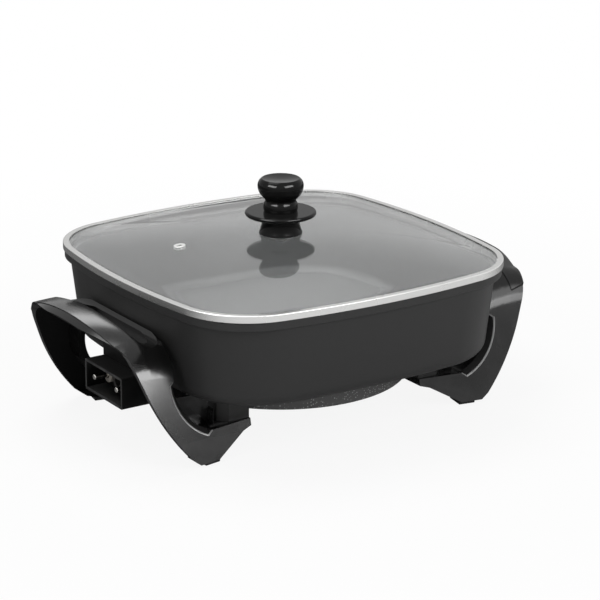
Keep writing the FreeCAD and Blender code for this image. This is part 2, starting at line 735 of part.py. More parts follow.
def arch_section(name, reach, crest, inset):
    """The handle's arch across X at one reach, inset by a skin's thickness: two leaning legs, round
    shoulders and a slightly crowned top. It runs on below the floor, where the side view cuts it."""
    sketch = doc.addObject("Sketcher::SketchObject", name)
    sketch.Placement = FreeCAD.Placement(Vector(0, 0, 0), Rotation(Vector(1, 1, 1), 120))
    sketch.setExpression("Placement.Base.x", cells(f"-({reach})"))
    below = "-foot_web"
    face = f"(leg_spread + leg_toe * ({reach} - lug_inner))"
    half = f"({face} + foot_web * tan(leg_lean) - ({inset}) / cos(leg_lean))"
    top = f"({crest} - ({inset}))"
    corner, crown = f"(arch_corner - ({inset}))", f"(arch_crown - ({inset}))"
    lean = math.radians(number("leg_lean"))
    wide, floor = number(half), number(below)
    shoulder = number(corner)
    centre = Vector(0, number(top) - number(crown), 0)
    middle_z = number(top) - shoulder * 1.3
    middle = Vector(wide - (middle_z - floor) * math.tan(lean) - shoulder / math.cos(lean), middle_z, 0)
    far_middle = Vector(-middle.x, middle.y, 0)
    leg_top = middle + Vector(math.cos(lean), math.sin(lean), 0) * shoulder
    lift = math.atan2(middle.y - centre.y, middle.x - centre.x)
    sketch.addGeometry(
        [
            Part.LineSegment(Vector(-wide, floor, 0), Vector(wide, floor, 0)),
            Part.LineSegment(Vector(wide, floor, 0), leg_top),
            Part.ArcOfCircle(Part.Circle(middle, up, shoulder), lean, lift),
            Part.ArcOfCircle(Part.Circle(centre, up, number(crown)), lift, math.pi - lift),
            Part.ArcOfCircle(Part.Circle(far_middle, up, shoulder), math.pi - lift, math.pi - lean),
            Part.LineSegment(Vector(-leg_top.x, leg_top.y, 0), Vector(-wide, floor, 0)),
        ],
        False,
    )
    rules = [("Coincident", 0, 2, 1, 1), ("Coincident", 5, 2, 0, 1)]
    rules += [("Tangent", side, 2, side + 1, 1) for side in range(1, 5)]
    rules += [("Symmetric", 0, 1, 0, 2, -2), ("Equal", 2, 4), ("PointOnObject", 3, 3, -2)]
    for rule in rules:
        sketch.addConstraint(Sketcher.Constraint(*rule))
    lean_rule = sketch.addConstraint(Sketcher.Constraint("Angle", 1, math.pi / 2 + lean))
    sketch.renameConstraint(lean_rule, "lean")
    sketch.setExpression("Constraints.lean", cells("90 + leg_lean"))
    fix_point(sketch, 0, 2, half, below)
    height = sketch.addConstraint(Sketcher.Constraint("DistanceY", 3, 3, centre.y))
    sketch.renameConstraint(height, "crown_centre")
    sketch.setExpression("Constraints.crown_centre", cells(f"{top} - {crown}"))
    fix_radius(sketch, 2, corner)
    fix_radius(sketch, 3, crown)
    doc.recompute()
    return sketch


CREST_STEPS = 6


def arch_solid(name, inset):
    """The arch from the grip's outer edge to the lugs. Its crest is slightly domed and falls off
    past the panel, towards the outer edge."""

    def crest(reach):
        return f"(ridge_top - ({reach} - ridge_reach)^2 / (2 * crest_radius))"

    shares = [step / CREST_STEPS for step in range(CREST_STEPS + 1)]
    steps = [f"(panel_outer + (grip_inner - panel_outer) * {share})" for share in shares]
    stations = [("(2 * grip_reach - panel_outer)", f"({crest('panel_outer')} - 2 * grip_edge_fall)")]
    stations += [(reach, crest(reach)) for reach in steps]
    stations.append(("(lug_inner - foot_web)", f"({crest('grip_inner')} - rib_depth)"))
    loft = doc.addObject("Part::Loft", name)
    loft.Sections = [
        arch_section(f"{name}_{index}", reach, top, inset) for index, (reach, top) in enumerate(stations)
    ]
    loft.Solid = True
    loft.Ruled = True
    doc.recompute()
    return loft


def side_solid(name, corners, arcs):
    """A side-view outline, seen along +Y, stretched across the whole handle."""
    sketch = doc.addObject("Sketcher::SketchObject", f"{name}_outline")
    sketch.Placement = FreeCAD.Placement(Vector(0, 0, 0), Rotation(Vector(1, 0, 0), 90))
    add_outline(sketch, corners, arcs)
    block = doc.addObject("Part::Extrusion", name)
    block.Base = sketch
    block.DirMode = "Normal"
    block.Symmetric = True
    block.Solid = True
    block.setExpression("LengthFwd", cells("rim_half * 2"))
    doc.recompute()
    return block


def boolean(kind, name, base, tool):
    result = doc.addObject(kind, name)
    result.Base = base
    result.Tool = tool
    doc.recompute()
    return result


def post(name, radius, long, x, y, z):
    cylinder = doc.addObject("Part::Cylinder", name)
    cylinder.setExpression("Radius", cells(radius))
    cylinder.setExpression("Height", cells(long))
    return place(cylinder, x, y, z)


# The left handle: an arched phenolic channel whose legs end in the feet. Its side view is one
# curved band, from the sole up the heel and calf to the flared grip, and back down the instep
# to the foot plate that carries the pan's lugs.
above = "(ridge_top + rib)"
band = side_solid(
    "handle_band",
    [
        ("-grip_inner", above),
        ("-grip_reach", above),
        ("-grip_reach", "ridge_top - flare_top_drop"),
        ("-(grip_reach - flare_inset)", "ridge_top - flare_bottom_drop"),
        ("-(grip_reach - calf_inset)", "ridge_top - calf_drop"),
        ("-(lug_outer + heel_out)", "heel_height"),
        ("-sole_outer", "leg_bottom"),
        ("-sole_inner", "leg_bottom"),
        ("-(lug_outer - shin_in)", "shin_height"),
        ("-lug_inner", "shin_height + shin_lift"),
        ("-lug_inner", "plate_top"),
        ("-instep_reach", "plate_top"),
        ("-grip_inner", "instep_height"),
    ],
    {2: ("flare_radius", False), 4: ("calf_radius", True), 11: ("instep_radius", False)},
)
plate_under = "(plate_top - foot_plate_thick)"
window = side_solid(
    "handle_window",
    [
        ("-(grip_inner + rib)", f"{above} + rib"),
        ("-(grip_reach + rib_depth)", f"{above} + rib"),
        ("-(grip_reach + rib_depth)", "leg_bottom + foot_web"),
        ("-(sole_inner + rib)", "leg_bottom + foot_web"),
        ("-window_reach", "shin_height - rib"),
        ("-window_reach", plate_under),
        ("-(instep_reach + rib)", plate_under),
        ("-(grip_inner + rib)", "instep_height"),
    ],
    {6: ("instep_radius + rib", False)},
)
arch = arch_solid("arch_block", "0")
arch_void = arch_solid("arch_void", "skin")
deep_void = arch_solid("deep_void", "rib_depth")
blank = boolean("Part::Common", "handle_blank", arch, band)
blank = boolean("Part::Cut", "handle_open", blank, deep_void)
pocket_tool = boolean("Part::Common", "handle_pocket", arch_void, window)
blank = boolean("Part::Cut", "handle_channel", blank, pocket_tool)
panel_outline = doc.addObject("Sketcher::SketchObject", "grip_panel_outline")
add_box(panel_outline, "-panel_outer", "-panel_half", "-(panel_outer - panel_wide)", "panel_half")
panel_prism = doc.addObject("Part::Extrusion", "grip_panel_prism")
panel_prism.Base = panel_outline
panel_prism.DirMode = "Normal"
panel_prism.Solid = True
panel_prism.setExpression("LengthFwd", cells("rim_top"))
doc.recompute()
panel = boolean("Part::Common", "grip_panel_skin", arch_solid("panel_block", "-panel_proud"), panel_prism)
panel = boolean("Part::Common", "grip_panel_side", panel, band)
panel = boolean("Part::Cut", "grip_panel", panel, arch_void)
blank = boolean("Part::Fuse", "handle_with_panel", blank, panel)
scoop = doc.addObject("Part::Cylinder", "grip_scoop")
scoop.setExpression("Radius", cells("scoop_radius"))
scoop.setExpression("Height", cells("rim_half * 2"))
scoop_height = "ridge_top - scoop_drop + scoop_radius"
place(scoop, "-(grip_inner + scoop_inset)", "rim_half", scoop_height, Rotation(Vector(1, 0, 0), 90))
blank = boolean("Part::Cut", "handle_scooped", blank, scoop)
cutters = []
for side, along in (("rear", ""), ("front", "-")):
    x, y = "-screw_reach", f"{along}screw_side"
    cutters.append(post(f"screw_bore_{side}", "handle_screw + fit_gap", "plate_top", x, y, "0"))
    seat = "plate_top - handle_screw_seat"
    cutters.append(post(f"screw_seat_{side}", "washer_radius + fit_gap", seat, x, y, "0"))
    x, y = "-foot_reach", f"{along}foot_side"
    cutters.append(post(f"peg_bore_{side}", "foot_peg + fit_gap", "leg_bottom + foot_web", x, y, "0"))
bores = doc.addObject("Part::MultiFuse", "handle_bores")
bores.Shapes = cutters
doc.recompute()
blank = boolean("Part::Cut", "handle_bored", blank, bores)
stops = []
rib_near, rib_far = "(lug_back + foot_web)", "(lug_front + fit_gap)"
for side, start in (("rear", rib_near), ("front", f"-{rib_far}")):
    stop = doc.addObject("Part::Box", f"stop_rib_{side}")
    stop.setExpression("Length", cells("rib"))
    stop.setExpression("Width", cells(f"{rib_far} - {rib_near}"))
    stop.setExpression("Height", cells("stop_rib_tall"))
    stops.append(place(stop, "-(lug_outer + stop_rib_out + rib)", start, "plate_top"))

# In line with the front lug a web closes the channel behind the instep, from the foot plate up to
# just under the pan.
web_low = "(plate_top - foot_plate_thick / 2)"
web_end = "(lug_outer + stop_rib_out + rib / 2)"
ankle = side_solid(
    "ankle_block",
    [
        ("-(instep_reach + rib / 2)", web_low),
        (f"-{web_end}", web_low),
        (f"-{web_end}", "instep_height"),
        ("-(grip_inner + rib / 2)", "instep_height"),
    ],
    {3: ("instep_radius + rib / 2", True)},
)
slab = doc.addObject("Part::Box", "ankle_slice")
slab.setExpression("Length", cells("grip_inner"))
slab.setExpression("Width", cells("rib"))
slab.setExpression("Height", cells(f"pan_bottom - ankle_gap - {web_low}"))
place(slab, "-(grip_inner + rib)", "-(screw_side + rib / 2)", web_low)
web = boolean("Part::Common", "ankle_web", ankle, slab)
left_handle = doc.addObject("Part::MultiFuse", "left_handle")
left_handle.Label = "left_handle"
left_handle.Shapes = [blank] + stops + [web]
doc.recompute()
right_handle = doc.addObject("Part::Mirroring", "right_handle")
right_handle.Label = "right_handle"
right_handle.Source = left_handle
right_handle.Normal = Vector(1, 0, 0)
doc.recompute()

# Four handle screws with washers go up through the foot plates into the lugs, and four rubber
# feet are pegged into the soles.
CORNERS = [(across, along) for across in ("-", "") for along in ("-", "")]
LARGE_HEAD = ("handle_screw_head", "handle_screw_head_tall")
handle_screws = []
washers = []
feet = []
for index, (across, along) in enumerate(CORNERS, start=1):
    x, y = f"{across}screw_reach", f"{along}screw_side"
    part = screw(f"handle_screw_{index}", "handle_screw", "handle_screw_long", *LARGE_HEAD)
    handle_screws.append(place(part, x, y, "plate_top - handle_screw_seat - washer_thick"))
    washer = new_body(f"handle_washer_{index}")
    flat = new_sketch(washer, f"handle_washer_round_{index}")
    add_circle(flat, "0", "0", "washer_radius")
    add_circle(flat, "0", "0", "handle_screw + fit_gap")
    pad(washer, f"handle_washer_flat_{index}", flat, "washer_thick")
    washers.append(place(washer, x, y, "plate_top - handle_screw_seat - washer_thick"))
    foot = new_body(f"foot_{index}")
    sole = new_sketch(foot, f"foot_sole_{index}")
    add_box(sole, "-foot_long / 2", "-foot_wide / 2", "foot_long / 2", "foot_wide / 2")
    pad(foot, f"foot_block_{index}", sole, "leg_bottom")
    fillet(foot, f"foot_edge_{index}", foot.Tip, "foot_round", flat_at(0))
    peg = new_sketch(foot, f"foot_peg_round_{index}", offset="leg_bottom")
    add_circle(peg, "0", "0", "foot_peg")
    pad(foot, f"foot_peg_{index}", peg, "foot_web - fit_gap")
    turn = math.degrees(math.atan(number("leg_toe"))) * (1 if across == along else -1)
    feet.append(place(foot, f"{across}foot_reach", f"{along}foot_side", "0", Rotation(Vector(0, 0, 1), turn)))
handle_screw_group = compound("handle_screws", handle_screws)
washer_group = compound("handle_washers", washers)
foot_pads = compound("foot_pads", feet)

# The glass lid: a flat clamped border and a dome that follows the bowed square.
glass = new_body("lid_glass")
border = new_sketch(glass, "glass_border", offset="glass_under")
inward = "lip_half + glass_half"
add_bowed_square(border, "glass_half", f"lip_corner - {inward}", f"lip_bow - {inward}")
pad(glass, "glass_plate", border, "glass_thick")
DOME_STATIONS = (1.0, 0.8, 0.56, 0.32, 0.125)
DOME_BOW = 4.2


def dome_sections(tag, under, shrink):
    sections = []
    for index, share in enumerate(DOME_STATIONS):
        half = f"((dome_half - {shrink}) * {share})"
        height = f"{under} + dome_rise * {round(1 - share**2, 4)}"
        section = new_sketch(glass, f"{tag}_{index}", offset=height)
        add_bowed_square(section, half, f"{half} * {round(0.39 + 0.5 * (1 - share), 4)}", f"{half} * {DOME_BOW}")
        sections.append(section)
    return sections


def loft_through(kind, name, sections):
    feature = glass.newObject(kind, name)
    feature.Profile = sections[0]
    feature.Sections = sections[1:]
    feature.Ruled = False
    doc.recompute()
    return feature


dome_top = dome_sections("dome_top", "glass_under + glass_thick", "0")
loft_through("PartDesign::AdditiveLoft", "glass_dome", dome_top)
before_hollow = glass.Shape.Volume
dome_under = dome_sections("dome_under", "glass_under", "glass_thick")
checked_cut(loft_through("PartDesign::SubtractiveLoft", "glass_hollow", dome_under), before_hollow)
knob_hole = new_sketch(glass, "knob_hole_outline", offset="rim_top + dome_rise * 2")
add_circle(knob_hole, "0", "0", "lid_screw + knob_hole_gap")
add_circle(knob_hole, "vent_across", "vent_along", "vent_tube + vent_hole_gap")
pocket(glass, "glass_holes", knob_hole, "dome_rise * 3")

# The steel rim: a pressed channel round the glass, with a skirt that drops inside the pan's lip.
rim = new_body("lid_rim")


def rim_ring(name, height, outer_half, inner_half, tall):
    ring_sketch = new_sketch(rim, f"{name}_outline", offset=height)
    for half in (outer_half, inner_half):
        add_bowed_square(ring_sketch, half, f"lip_corner - lip_half + {half}", f"lip_bow - lip_half + {half}")
    return pad(rim, name, ring_sketch, tall)


skirt_inside = "(skirt_half - rim_sheet)"
skirt_drop = "(recess_depth - skirt_lift)"
rim_ring("rim_lower_flange", "rim_bottom", "rim_half", skirt_inside, "rim_sheet")
rim_ring("rim_wall", "rim_bottom", "rim_half", "(rim_half - rim_sheet)", "rim_top - rim_bottom")
rim_ring("rim_top_flange", "rim_top - rim_sheet", "rim_half", "(rim_half - rim_flange)", "rim_sheet")
rim_ring("rim_skirt", f"rim_bottom - {skirt_drop}", "skirt_half", skirt_inside, f"{skirt_drop} + rim_sheet")


def turned(name, outline, arcs=None):
    """A piece turned about the lid's centre line from half its section."""
    body = new_body(name)
    half = new_sketch(body, f"{name}_profile", role="XZ_Plane")
    add_outline(half, outline, arcs)
    revolve(body, f"{name}_turn", half)
    return body


# The vent eyelet is rolled over both faces of the glass, square to the dome where it stands.
glass_top_middle = f"(glass_under + glass_thick + dome_rise * {round(1 - DOME_STATIONS[-1]**2, 4)})"
vent_side = f"(abs(vent_across) + vent_along^2 / ({2 * DOME_BOW} * abs(vent_across)))"
vent_top = f"(glass_under + glass_thick + dome_rise * (1 - ({vent_side} / dome_half)^2))"
vent_under = f"(glass_under + dome_rise * (1 - ({vent_side} / (dome_half - glass_thick))^2))"
half_eyelet = f"(({vent_top} - {vent_under}) / 2 + fit_gap)"
eyelet = turned(
    "vent_eyelet",
    [
        ("(vent_tube - vent_sheet)", f"-{half_eyelet} - vent_sheet"),
        ("vent_flange", f"-{half_eyelet} - vent_sheet"),
        ("vent_flange", f"-{half_eyelet}"),
        ("vent_tube", f"-{half_eyelet}"),
        ("vent_tube", half_eyelet),
        ("vent_flange", half_eyelet),
        ("vent_flange", f"{half_eyelet} + vent_sheet"),
        ("(vent_tube - vent_sheet)", f"{half_eyelet} + vent_sheet"),
    ],
)
across, along = number("vent_across"), number("vent_along")
outward = Vector(across, along / DOME_BOW, 0).normalize()
tilt = math.degrees(math.atan(number(f"2 * dome_rise * {vent_side} / dome_half^2")))
square_to_dome = Rotation(Vector(-outward.y, outward.x, 0), tilt)
place(eyelet, "vent_across", "vent_along", f"({vent_top} + {vent_under}) / 2", square_to_dome)

# The knob stack, from the glass up: silicone seal, flared foot, heat guard disc, stem and head.
seal_top = f"({glass_top_middle} + knob_seal_thick)"
glass_under_middle = f"({glass_top_middle} - glass_thick)"
seals = []
for index, bottom in enumerate((glass_top_middle, f"({glass_under_middle} - knob_seal_thick)"), start=1):
    seal = new_body(f"seal_{index}")
    seal_round = new_sketch(seal, f"seal_round_{index}", offset=bottom)
    add_circle(seal_round, "0", "0", "knob_seal")
    add_circle(seal_round, "0", "0", "lid_screw + fit_gap")
    pad(seal, f"seal_flat_{index}", seal_round, "knob_seal_thick")
    seals.append(seal)
knob_seals = compound("knob_seals", seals)
foot_top = f"({glass_top_middle} + knob_foot_tall)"
knob_base = turned(
    "knob_base",
    [
        ("lid_screw + fit_gap", seal_top),
        ("knob_seal + fit_gap", seal_top),
        ("knob_seal + fit_gap", glass_top_middle),
        ("knob_foot", glass_top_middle),
        ("knob_foot", f"{glass_top_middle} + knob_foot_edge"),
        ("knob_foot_top", foot_top),
        ("lid_screw + fit_gap", foot_top),
    ],
    {4: ("knob_foot_curve", False)},
)
guard_top = f"({foot_top} + guard_thick)"
heat_guard = turned(
    "heat_guard",
    [
        ("lid_screw + fit_gap", foot_top),
        ("guard_radius - guard_thick / 2", foot_top),
        ("guard_radius", f"{foot_top} + guard_thick / 2"),
        ("guard_radius - guard_thick / 2", guard_top),
        ("lid_screw + fit_gap", guard_top),
    ],
    {1: ("guard_thick / 2", True), 2: ("guard_thick / 2", True)},
)
insert_top = f"({guard_top} + insert_tall)"
head_middle = f"({guard_top} + head_height)"
knob_top = f"({guard_top} + knob_tall)"
knob = turned(
    "knob",
    [
        ("insert_radius + fit_gap", guard_top),
        ("stem_radius", guard_top),
        ("neck_radius", f"{guard_top} + neck_height"),
        ("head_root", f"{guard_top} + head_root_height"),
        ("head_radius", head_middle),
        ("head_top", knob_top),
        ("0", f"{knob_top} - knob_dish"),
        ("0", f"{insert_top} + fit_gap"),
        ("insert_radius + fit_gap", f"{insert_top} + fit_gap"),
    ],
    {
        2: ("neck_curve", False),
        3: ("head_under_curve", True),
        4: ("head_curve", True),
        5: ("knob_dish_curve", False),
    },
)
screw_bottom = f"({glass_under_middle} - knob_seal_thick - lid_washer_thick)"
knob_insert = turned(
    "knob_insert",
    [
        ("lid_screw + fit_gap", guard_top),
        ("insert_radius", guard_top),
        ("insert_radius", insert_top),
        ("0", insert_top),
        ("0", f"{screw_bottom} + lid_screw_long + fit_gap"),
        ("lid_screw + fit_gap", f"{screw_bottom} + lid_screw_long + fit_gap"),
    ],
)
lid_washer = turned(
    "lid_washer",
    [
        ("lid_screw + fit_gap", screw_bottom),
        ("lid_washer", screw_bottom),
        ("lid_washer", f"{screw_bottom} + lid_washer_thick"),
        ("lid_screw + fit_gap", f"{screw_bottom} + lid_washer_thick"),
    ],
)
knob_screw = screw("knob_screw", "lid_screw", "lid_screw_long", "lid_screw_head", "lid_screw_head_tall")
place(knob_screw, z=screw_bottom)

doc.recompute()
for thing in doc.Objects:
    if "Invalid" in thing.State or "Error" in thing.State:
        raise RuntimeError(f"{thing.Name} failed: {thing.State}")

NODES = [
    pan,
    heater,
    terminal_pins,
    pin_insulators,
    probe_sleeve,
    shroud,
    shroud_screw_group,
    cover,
    cover_screw_group,
    left_handle,
    right_handle,
    handle_screw_group,
    washer_group,
    foot_pads,
    glass,
    rim,
    eyelet,
    knob_seals,
    knob_base,
    heat_guard,
    knob,
    knob_insert,
    lid_washer,
    knob_screw,
]
for node in NODES:
    if node.Shape.isNull() or not node.Shape.isValid():
        raise RuntimeError(f"{node.Label} has no valid shape")
for node in NODES:
    node.Shape.exportStep(f"parts/{node.Label}.step")
    print(f"{node.Label}: {len(node.Shape.Solids)} solids, {node.Shape.Volume / 1000:.1f} cm3")
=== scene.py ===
import math

import bmesh
import bpy
from mathutils import Matrix, Vector


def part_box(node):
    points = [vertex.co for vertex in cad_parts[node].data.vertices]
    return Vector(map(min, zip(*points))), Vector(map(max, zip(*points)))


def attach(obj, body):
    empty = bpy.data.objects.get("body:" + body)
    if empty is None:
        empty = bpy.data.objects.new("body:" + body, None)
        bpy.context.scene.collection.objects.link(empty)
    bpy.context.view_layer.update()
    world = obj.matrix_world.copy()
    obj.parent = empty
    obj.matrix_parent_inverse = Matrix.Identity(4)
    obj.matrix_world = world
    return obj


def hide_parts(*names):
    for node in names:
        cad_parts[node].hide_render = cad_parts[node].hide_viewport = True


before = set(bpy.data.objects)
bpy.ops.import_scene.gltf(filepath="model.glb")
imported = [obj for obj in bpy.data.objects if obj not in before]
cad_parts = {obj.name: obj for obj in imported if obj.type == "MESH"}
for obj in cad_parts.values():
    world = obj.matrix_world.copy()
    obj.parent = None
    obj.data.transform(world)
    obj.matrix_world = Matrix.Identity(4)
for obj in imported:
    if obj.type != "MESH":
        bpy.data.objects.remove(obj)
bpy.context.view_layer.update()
MM = 0.001

# The studio: a camera a little above the rim, seen from the front left, the way a shop photograph
# is taken. The numbers are the angle and distance found from the rim's outline.
AZIMUTH, ELEVATION, DISTANCE = math.radians(-32.82), math.radians(16.67), 1900 * MM
SENSOR, LENS, SHIFT_X, SHIFT_Y = 36, 143.3, 0.0323, -0.0878
rim_middle = Vector((0, 0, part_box("lid_rim")[1].z))
backward = Vector(
    (
        math.sin(AZIMUTH) * math.cos(ELEVATION),
        -math.cos(AZIMUTH) * math.cos(ELEVATION),
        math.sin(ELEVATION),
    )
)
camera = bpy.data.objects.new("camera", bpy.data.cameras.new("camera"))
camera.location = rim_middle + backward * DISTANCE
camera.rotation_euler = backward.to_track_quat("Z", "Y").to_euler()
camera.data.sensor_width = SENSOR
camera.data.lens = LENS
camera.data.shift_x = SHIFT_X
camera.data.shift_y = SHIFT_Y
bpy.context.collection.objects.link(camera)
bpy.context.scene.camera = camera
bpy.context.scene.view_settings.view_transform = "Standard"

# The white surround, a world that is white to the camera and in polished parts, and dim as a light.
# In the polished parts it is dimmer towards the back, which keeps the glass clear.
AMBIENT = 0.35
SKY_FRONT, SKY_BACK, SKY_LEVELS = 0.2, 0.75, (1.0, 0.68)


def add(tree, kind, inputs=None, **settings):
    """A shader node with its settings, and its inputs linked or given plain values."""
    made = tree.nodes.new("ShaderNode" + kind)
    for key, value in settings.items():
        setattr(made, key, value)
    for key, value in (inputs or {}).items():
        if isinstance(value, bpy.types.NodeSocket):
            tree.links.new(value, made.inputs[key])
        else:
            made.inputs[key].default_value = value
    return made


def product(tree, first, second):
    """One value times another."""
    return add(tree, "Math", {0: first, 1: second}, operation="MULTIPLY").outputs[0]


def met_by(tree, *rays):
    """One where a ray of one of the named kinds meets the surface, else nought."""
    path = add(tree, "LightPath")
    total = path.outputs[rays[0]]
    for ray in rays[1:]:
        total = add(tree, "Math", {0: total, 1: path.outputs[ray]}, use_clamp=True).outputs[0]
    return total


def mirrored_level(tree, place, front, back, levels):
    """One, but for mirrored rays the first level at the front and the second at the back."""
    depth = add(tree, "SeparateXYZ", {0: place}).outputs["Y"]
    fall = add(tree, "MapRange", {0: depth, 1: front, 2: back, 3: levels[0], 4: levels[1]}).outputs[0]
    ray = add(tree, "LightPath").outputs["Is Glossy Ray"]
    return add(tree, "Mix", {0: ray, 2: 1.0, 3: fall}, data_type="FLOAT").outputs[0]


world = bpy.data.worlds.new("white_surround")
bpy.context.scene.world = world
world.use_nodes = True
sky = world.node_tree
sky.nodes.clear()
bright = met_by(sky, "Is Camera Ray", "Is Glossy Ray", "Is Transmission Ray")
plain = add(sky, "MapRange", {0: bright, 3: AMBIENT, 4: 1.0}).outputs[0]
facing = add(sky, "TexCoord").outputs["Generated"]
level = mirrored_level(sky, facing, SKY_FRONT, SKY_BACK, SKY_LEVELS)
surround = add(sky, "Background", {"Color": (1, 1, 1, 1), "Strength": product(sky, plain, level)})
sky.links.new(surround.outputs[0], add(sky, "OutputWorld").inputs["Surface"])

# The pale floor: it keeps the skillet's soft shadow and turns into the white of the surround a
# little way off. In the polished parts it is dimmer towards the back.
FLOOR_HALF = 6.0
FLOOR_SHADE, FLOOR_GLOW = 0.85, 0.90
SHADOW_REACH, WHITE_REACH = 0.30, 0.75
FLOOR_FRONT, FLOOR_BACK, FLOOR_LEVELS = -0.35, 0.15, (1.0, 0.2)
floor_mesh = bmesh.new()
bmesh.ops.create_grid(floor_mesh, x_segments=1, y_segments=1, size=FLOOR_HALF)
floor_data = bpy.data.meshes.new("floor")
floor_mesh.to_mesh(floor_data)
floor_mesh.free()
floor = bpy.data.objects.new("floor", floor_data)
bpy.context.collection.objects.link(floor)
floor_paint = bpy.data.materials.new("floor_paint")
floor_paint.use_nodes = True
paint = floor_paint.node_tree
paint.nodes.clear()
place = add(paint, "TexCoord").outputs["Object"]
level = mirrored_level(paint, place, FLOOR_FRONT, FLOOR_BACK, FLOOR_LEVELS)
matt = add(paint, "BsdfDiffuse", {"Color": product(paint, level, FLOOR_SHADE)})
glow = add(paint, "Emission", {"Color": (1, 1, 1, 1), "Strength": 1.0})
reach = add(paint, "VectorMath", {0: place}, operation="LENGTH")
whiten = add(
    paint,
    "MapRange",
    {0: reach.outputs["Value"], 1: SHADOW_REACH, 2: WHITE_REACH, 3: FLOOR_GLOW, 4: 1.0},
    interpolation_type="SMOOTHSTEP",
)
bright = met_by(paint, "Is Camera Ray", "Is Transmission Ray")
share = product(paint, bright, whiten.outputs[0])
blend = add(paint, "MixShader", {0: share, 1: matt.outputs[0], 2: glow.outputs[0]})
paint.links.new(blend.outputs[0], add(paint, "OutputMaterial").inputs["Surface"])
floor_data.materials.append(floor_paint)

# The softboxes: three for everything, and five that light only the handles or only the knob,
# because lamps for everything that did the same would also show in the glass.
BODY, CREST, LID = (0, 0, 0.08), (-0.18, 0, 0.1), (0, 0, 0.1)
LEFT_INSTEP, RIGHT_INSTEP, KNOB = (-0.15, -0.085, 0.06), (0.15, -0.085, 0.065), (0, 0, 0.17)


def softbox(name, place, aim, wide, tall, watts, only):
    """A rectangular studio lamp that looks at a point, and may be flagged off all but one collection."""
    lamp = bpy.data.lights.new(name, "AREA")
    lamp.shape = "RECTANGLE"
    lamp.size, lamp.size_y, lamp.energy = wide, tall, watts
    box = bpy.data.objects.new(name, lamp)
    box.location = place
    box.rotation_euler = (Vector(place) - Vector(aim)).to_track_quat("Z", "Y").to_euler()
    box.light_linking.receiver_collection = only
    bpy.context.collection.objects.link(box)


grips, left_grip, right_grip, knob_parts = (
    bpy.data.collections.new(name) for name in ("grips", "left_grip", "right_grip", "knob_parts")
)
for name, place, aim, wide, tall, watts, only in (
    ("key_softbox", (0.52, -1.9, 1.45), BODY, 1.5, 1.0, 18, None),
    ("left_softbox", (-1.75, -0.28, 1.35), BODY, 0.5, 0.4, 4, None),
    ("top_softbox", (-0.2, 0.5, 1.8), LID, 1.4, 1.0, 18, None),
    ("left_leg_softbox", (0.307, -0.473, 0.21), LEFT_INSTEP, 0.32, 0.26, 4.9, left_grip),
    ("right_leg_softbox", (0.284, -0.664, 0.28), RIGHT_INSTEP, 0.3, 0.2, 1.8, right_grip),
    ("grip_softbox", (0.52, 1.23, 0.84), CREST, 0.5, 0.35, 1.9, grips),
    ("left_knob_softbox", (-0.968, -0.156, 0.86), KNOB, 0.9, 0.4, 34, knob_parts),
    ("right_knob_softbox", (0.258, -0.946, 0.86), KNOB, 0.9, 0.4, 34, knob_parts),
):
    softbox(name, place, aim, wide, tall, watts, only)


# The pan: one aluminium casting with a drafted wall and a raised lip, satin black outside and
# coated dark grey inside. Its outline is a square with round corners and slightly bowed sides.
LIP_TOP, LIP_BOTTOM, LEDGE = 122 * MM, 115.5 * MM, 115.7 * MM
PAN_BOTTOM, PAN_FLOOR = 51 * MM, 55 * MM
LIP_SHAPE = (148.8 * MM, 61 * MM, 613 * MM)
WALL_SHAPE = (146 * MM, 74 * MM, 790 * MM)
WALL, DRAFT, LIP_WALL = 3.2 * MM, math.tan(math.radians(6.6)), 3.4 * MM
BOTTOM_ROUND, FLOOR_ROUND, LIP_ROUND = 9.8 * MM, 7.1 * MM, 0.9 * MM
SIDE_STEPS, CORNER_STEPS, RING_WELD, HOLD = 12, 20, 0.02 * MM, 500 * MM
CREASE = math.radians(35)
EDGE_PALE_FROM, EDGE_PALE_FULL, EDGE_PALE_SCALE = 0.52, 0.6, 90.0
FLECK_EDGE, FLECK_CORE = 0.42, 0.2


def verts_of(geometry):
    """The vertices in an operator's mixed geometry."""
    return [item for item in geometry if isinstance(item, bmesh.types.BMVert)]


def bowed_ring(bm, shape, inset, height):
    """A closed ring of edges: four bowed sides and four round corners, each spun from a point."""
    half, corner, bow = (size - inset for size in shape)
    deep, slack = bow - half, bow - corner
    middle = (math.sqrt(2 * slack**2 - deep**2) - deep) / 2
    lean = math.asin(middle / slack)
    before = set(bm.edges)
    start = (bow * math.cos(lean) - deep, -bow * math.sin(lean), height)
    first = bmesh.ops.create_vert(bm, co=start)["vert"]
    tip = first
    for quarter in range(4):
        turn = Matrix.Rotation(quarter * math.pi / 2, 3, "Z")
        side = ((-deep, 0, height), 2 * lean, SIDE_STEPS)
        corner_arc = ((middle, middle, height), math.pi / 2 - 2 * lean, CORNER_STEPS)
        for centre, angle, steps in (side, corner_arc):
            spin = bmesh.ops.spin(
                bm, geom=tip, cent=turn @ Vector(centre), axis=(0, 0, 1), angle=angle, steps=steps
            )
            tip = verts_of(spin["geom_last"])
    bmesh.ops.remove_doubles(bm, verts=first + tip, dist=RING_WELD)
    return [edge for edge in bm.edges if edge not in before]


def bridge(bm, rings, inside=()):
    """Joins each ring to the next, the far one held high meanwhile so that level pairs join too.
    The spans numbered in inside get the second material."""
    for index, (low, high) in enumerate(zip(rings, rings[1:])):
        held = list({vert for edge in high for vert in edge.verts})
        bmesh.ops.translate(bm, vec=(0, 0, HOLD), verts=held)
        faces = bmesh.ops.bridge_loops(bm, edges=low + high)["faces"]
        bmesh.ops.translate(bm, vec=(0, 0, -HOLD), verts=held)
        for face in faces:
            face.material_index = 1 if index in inside else 0


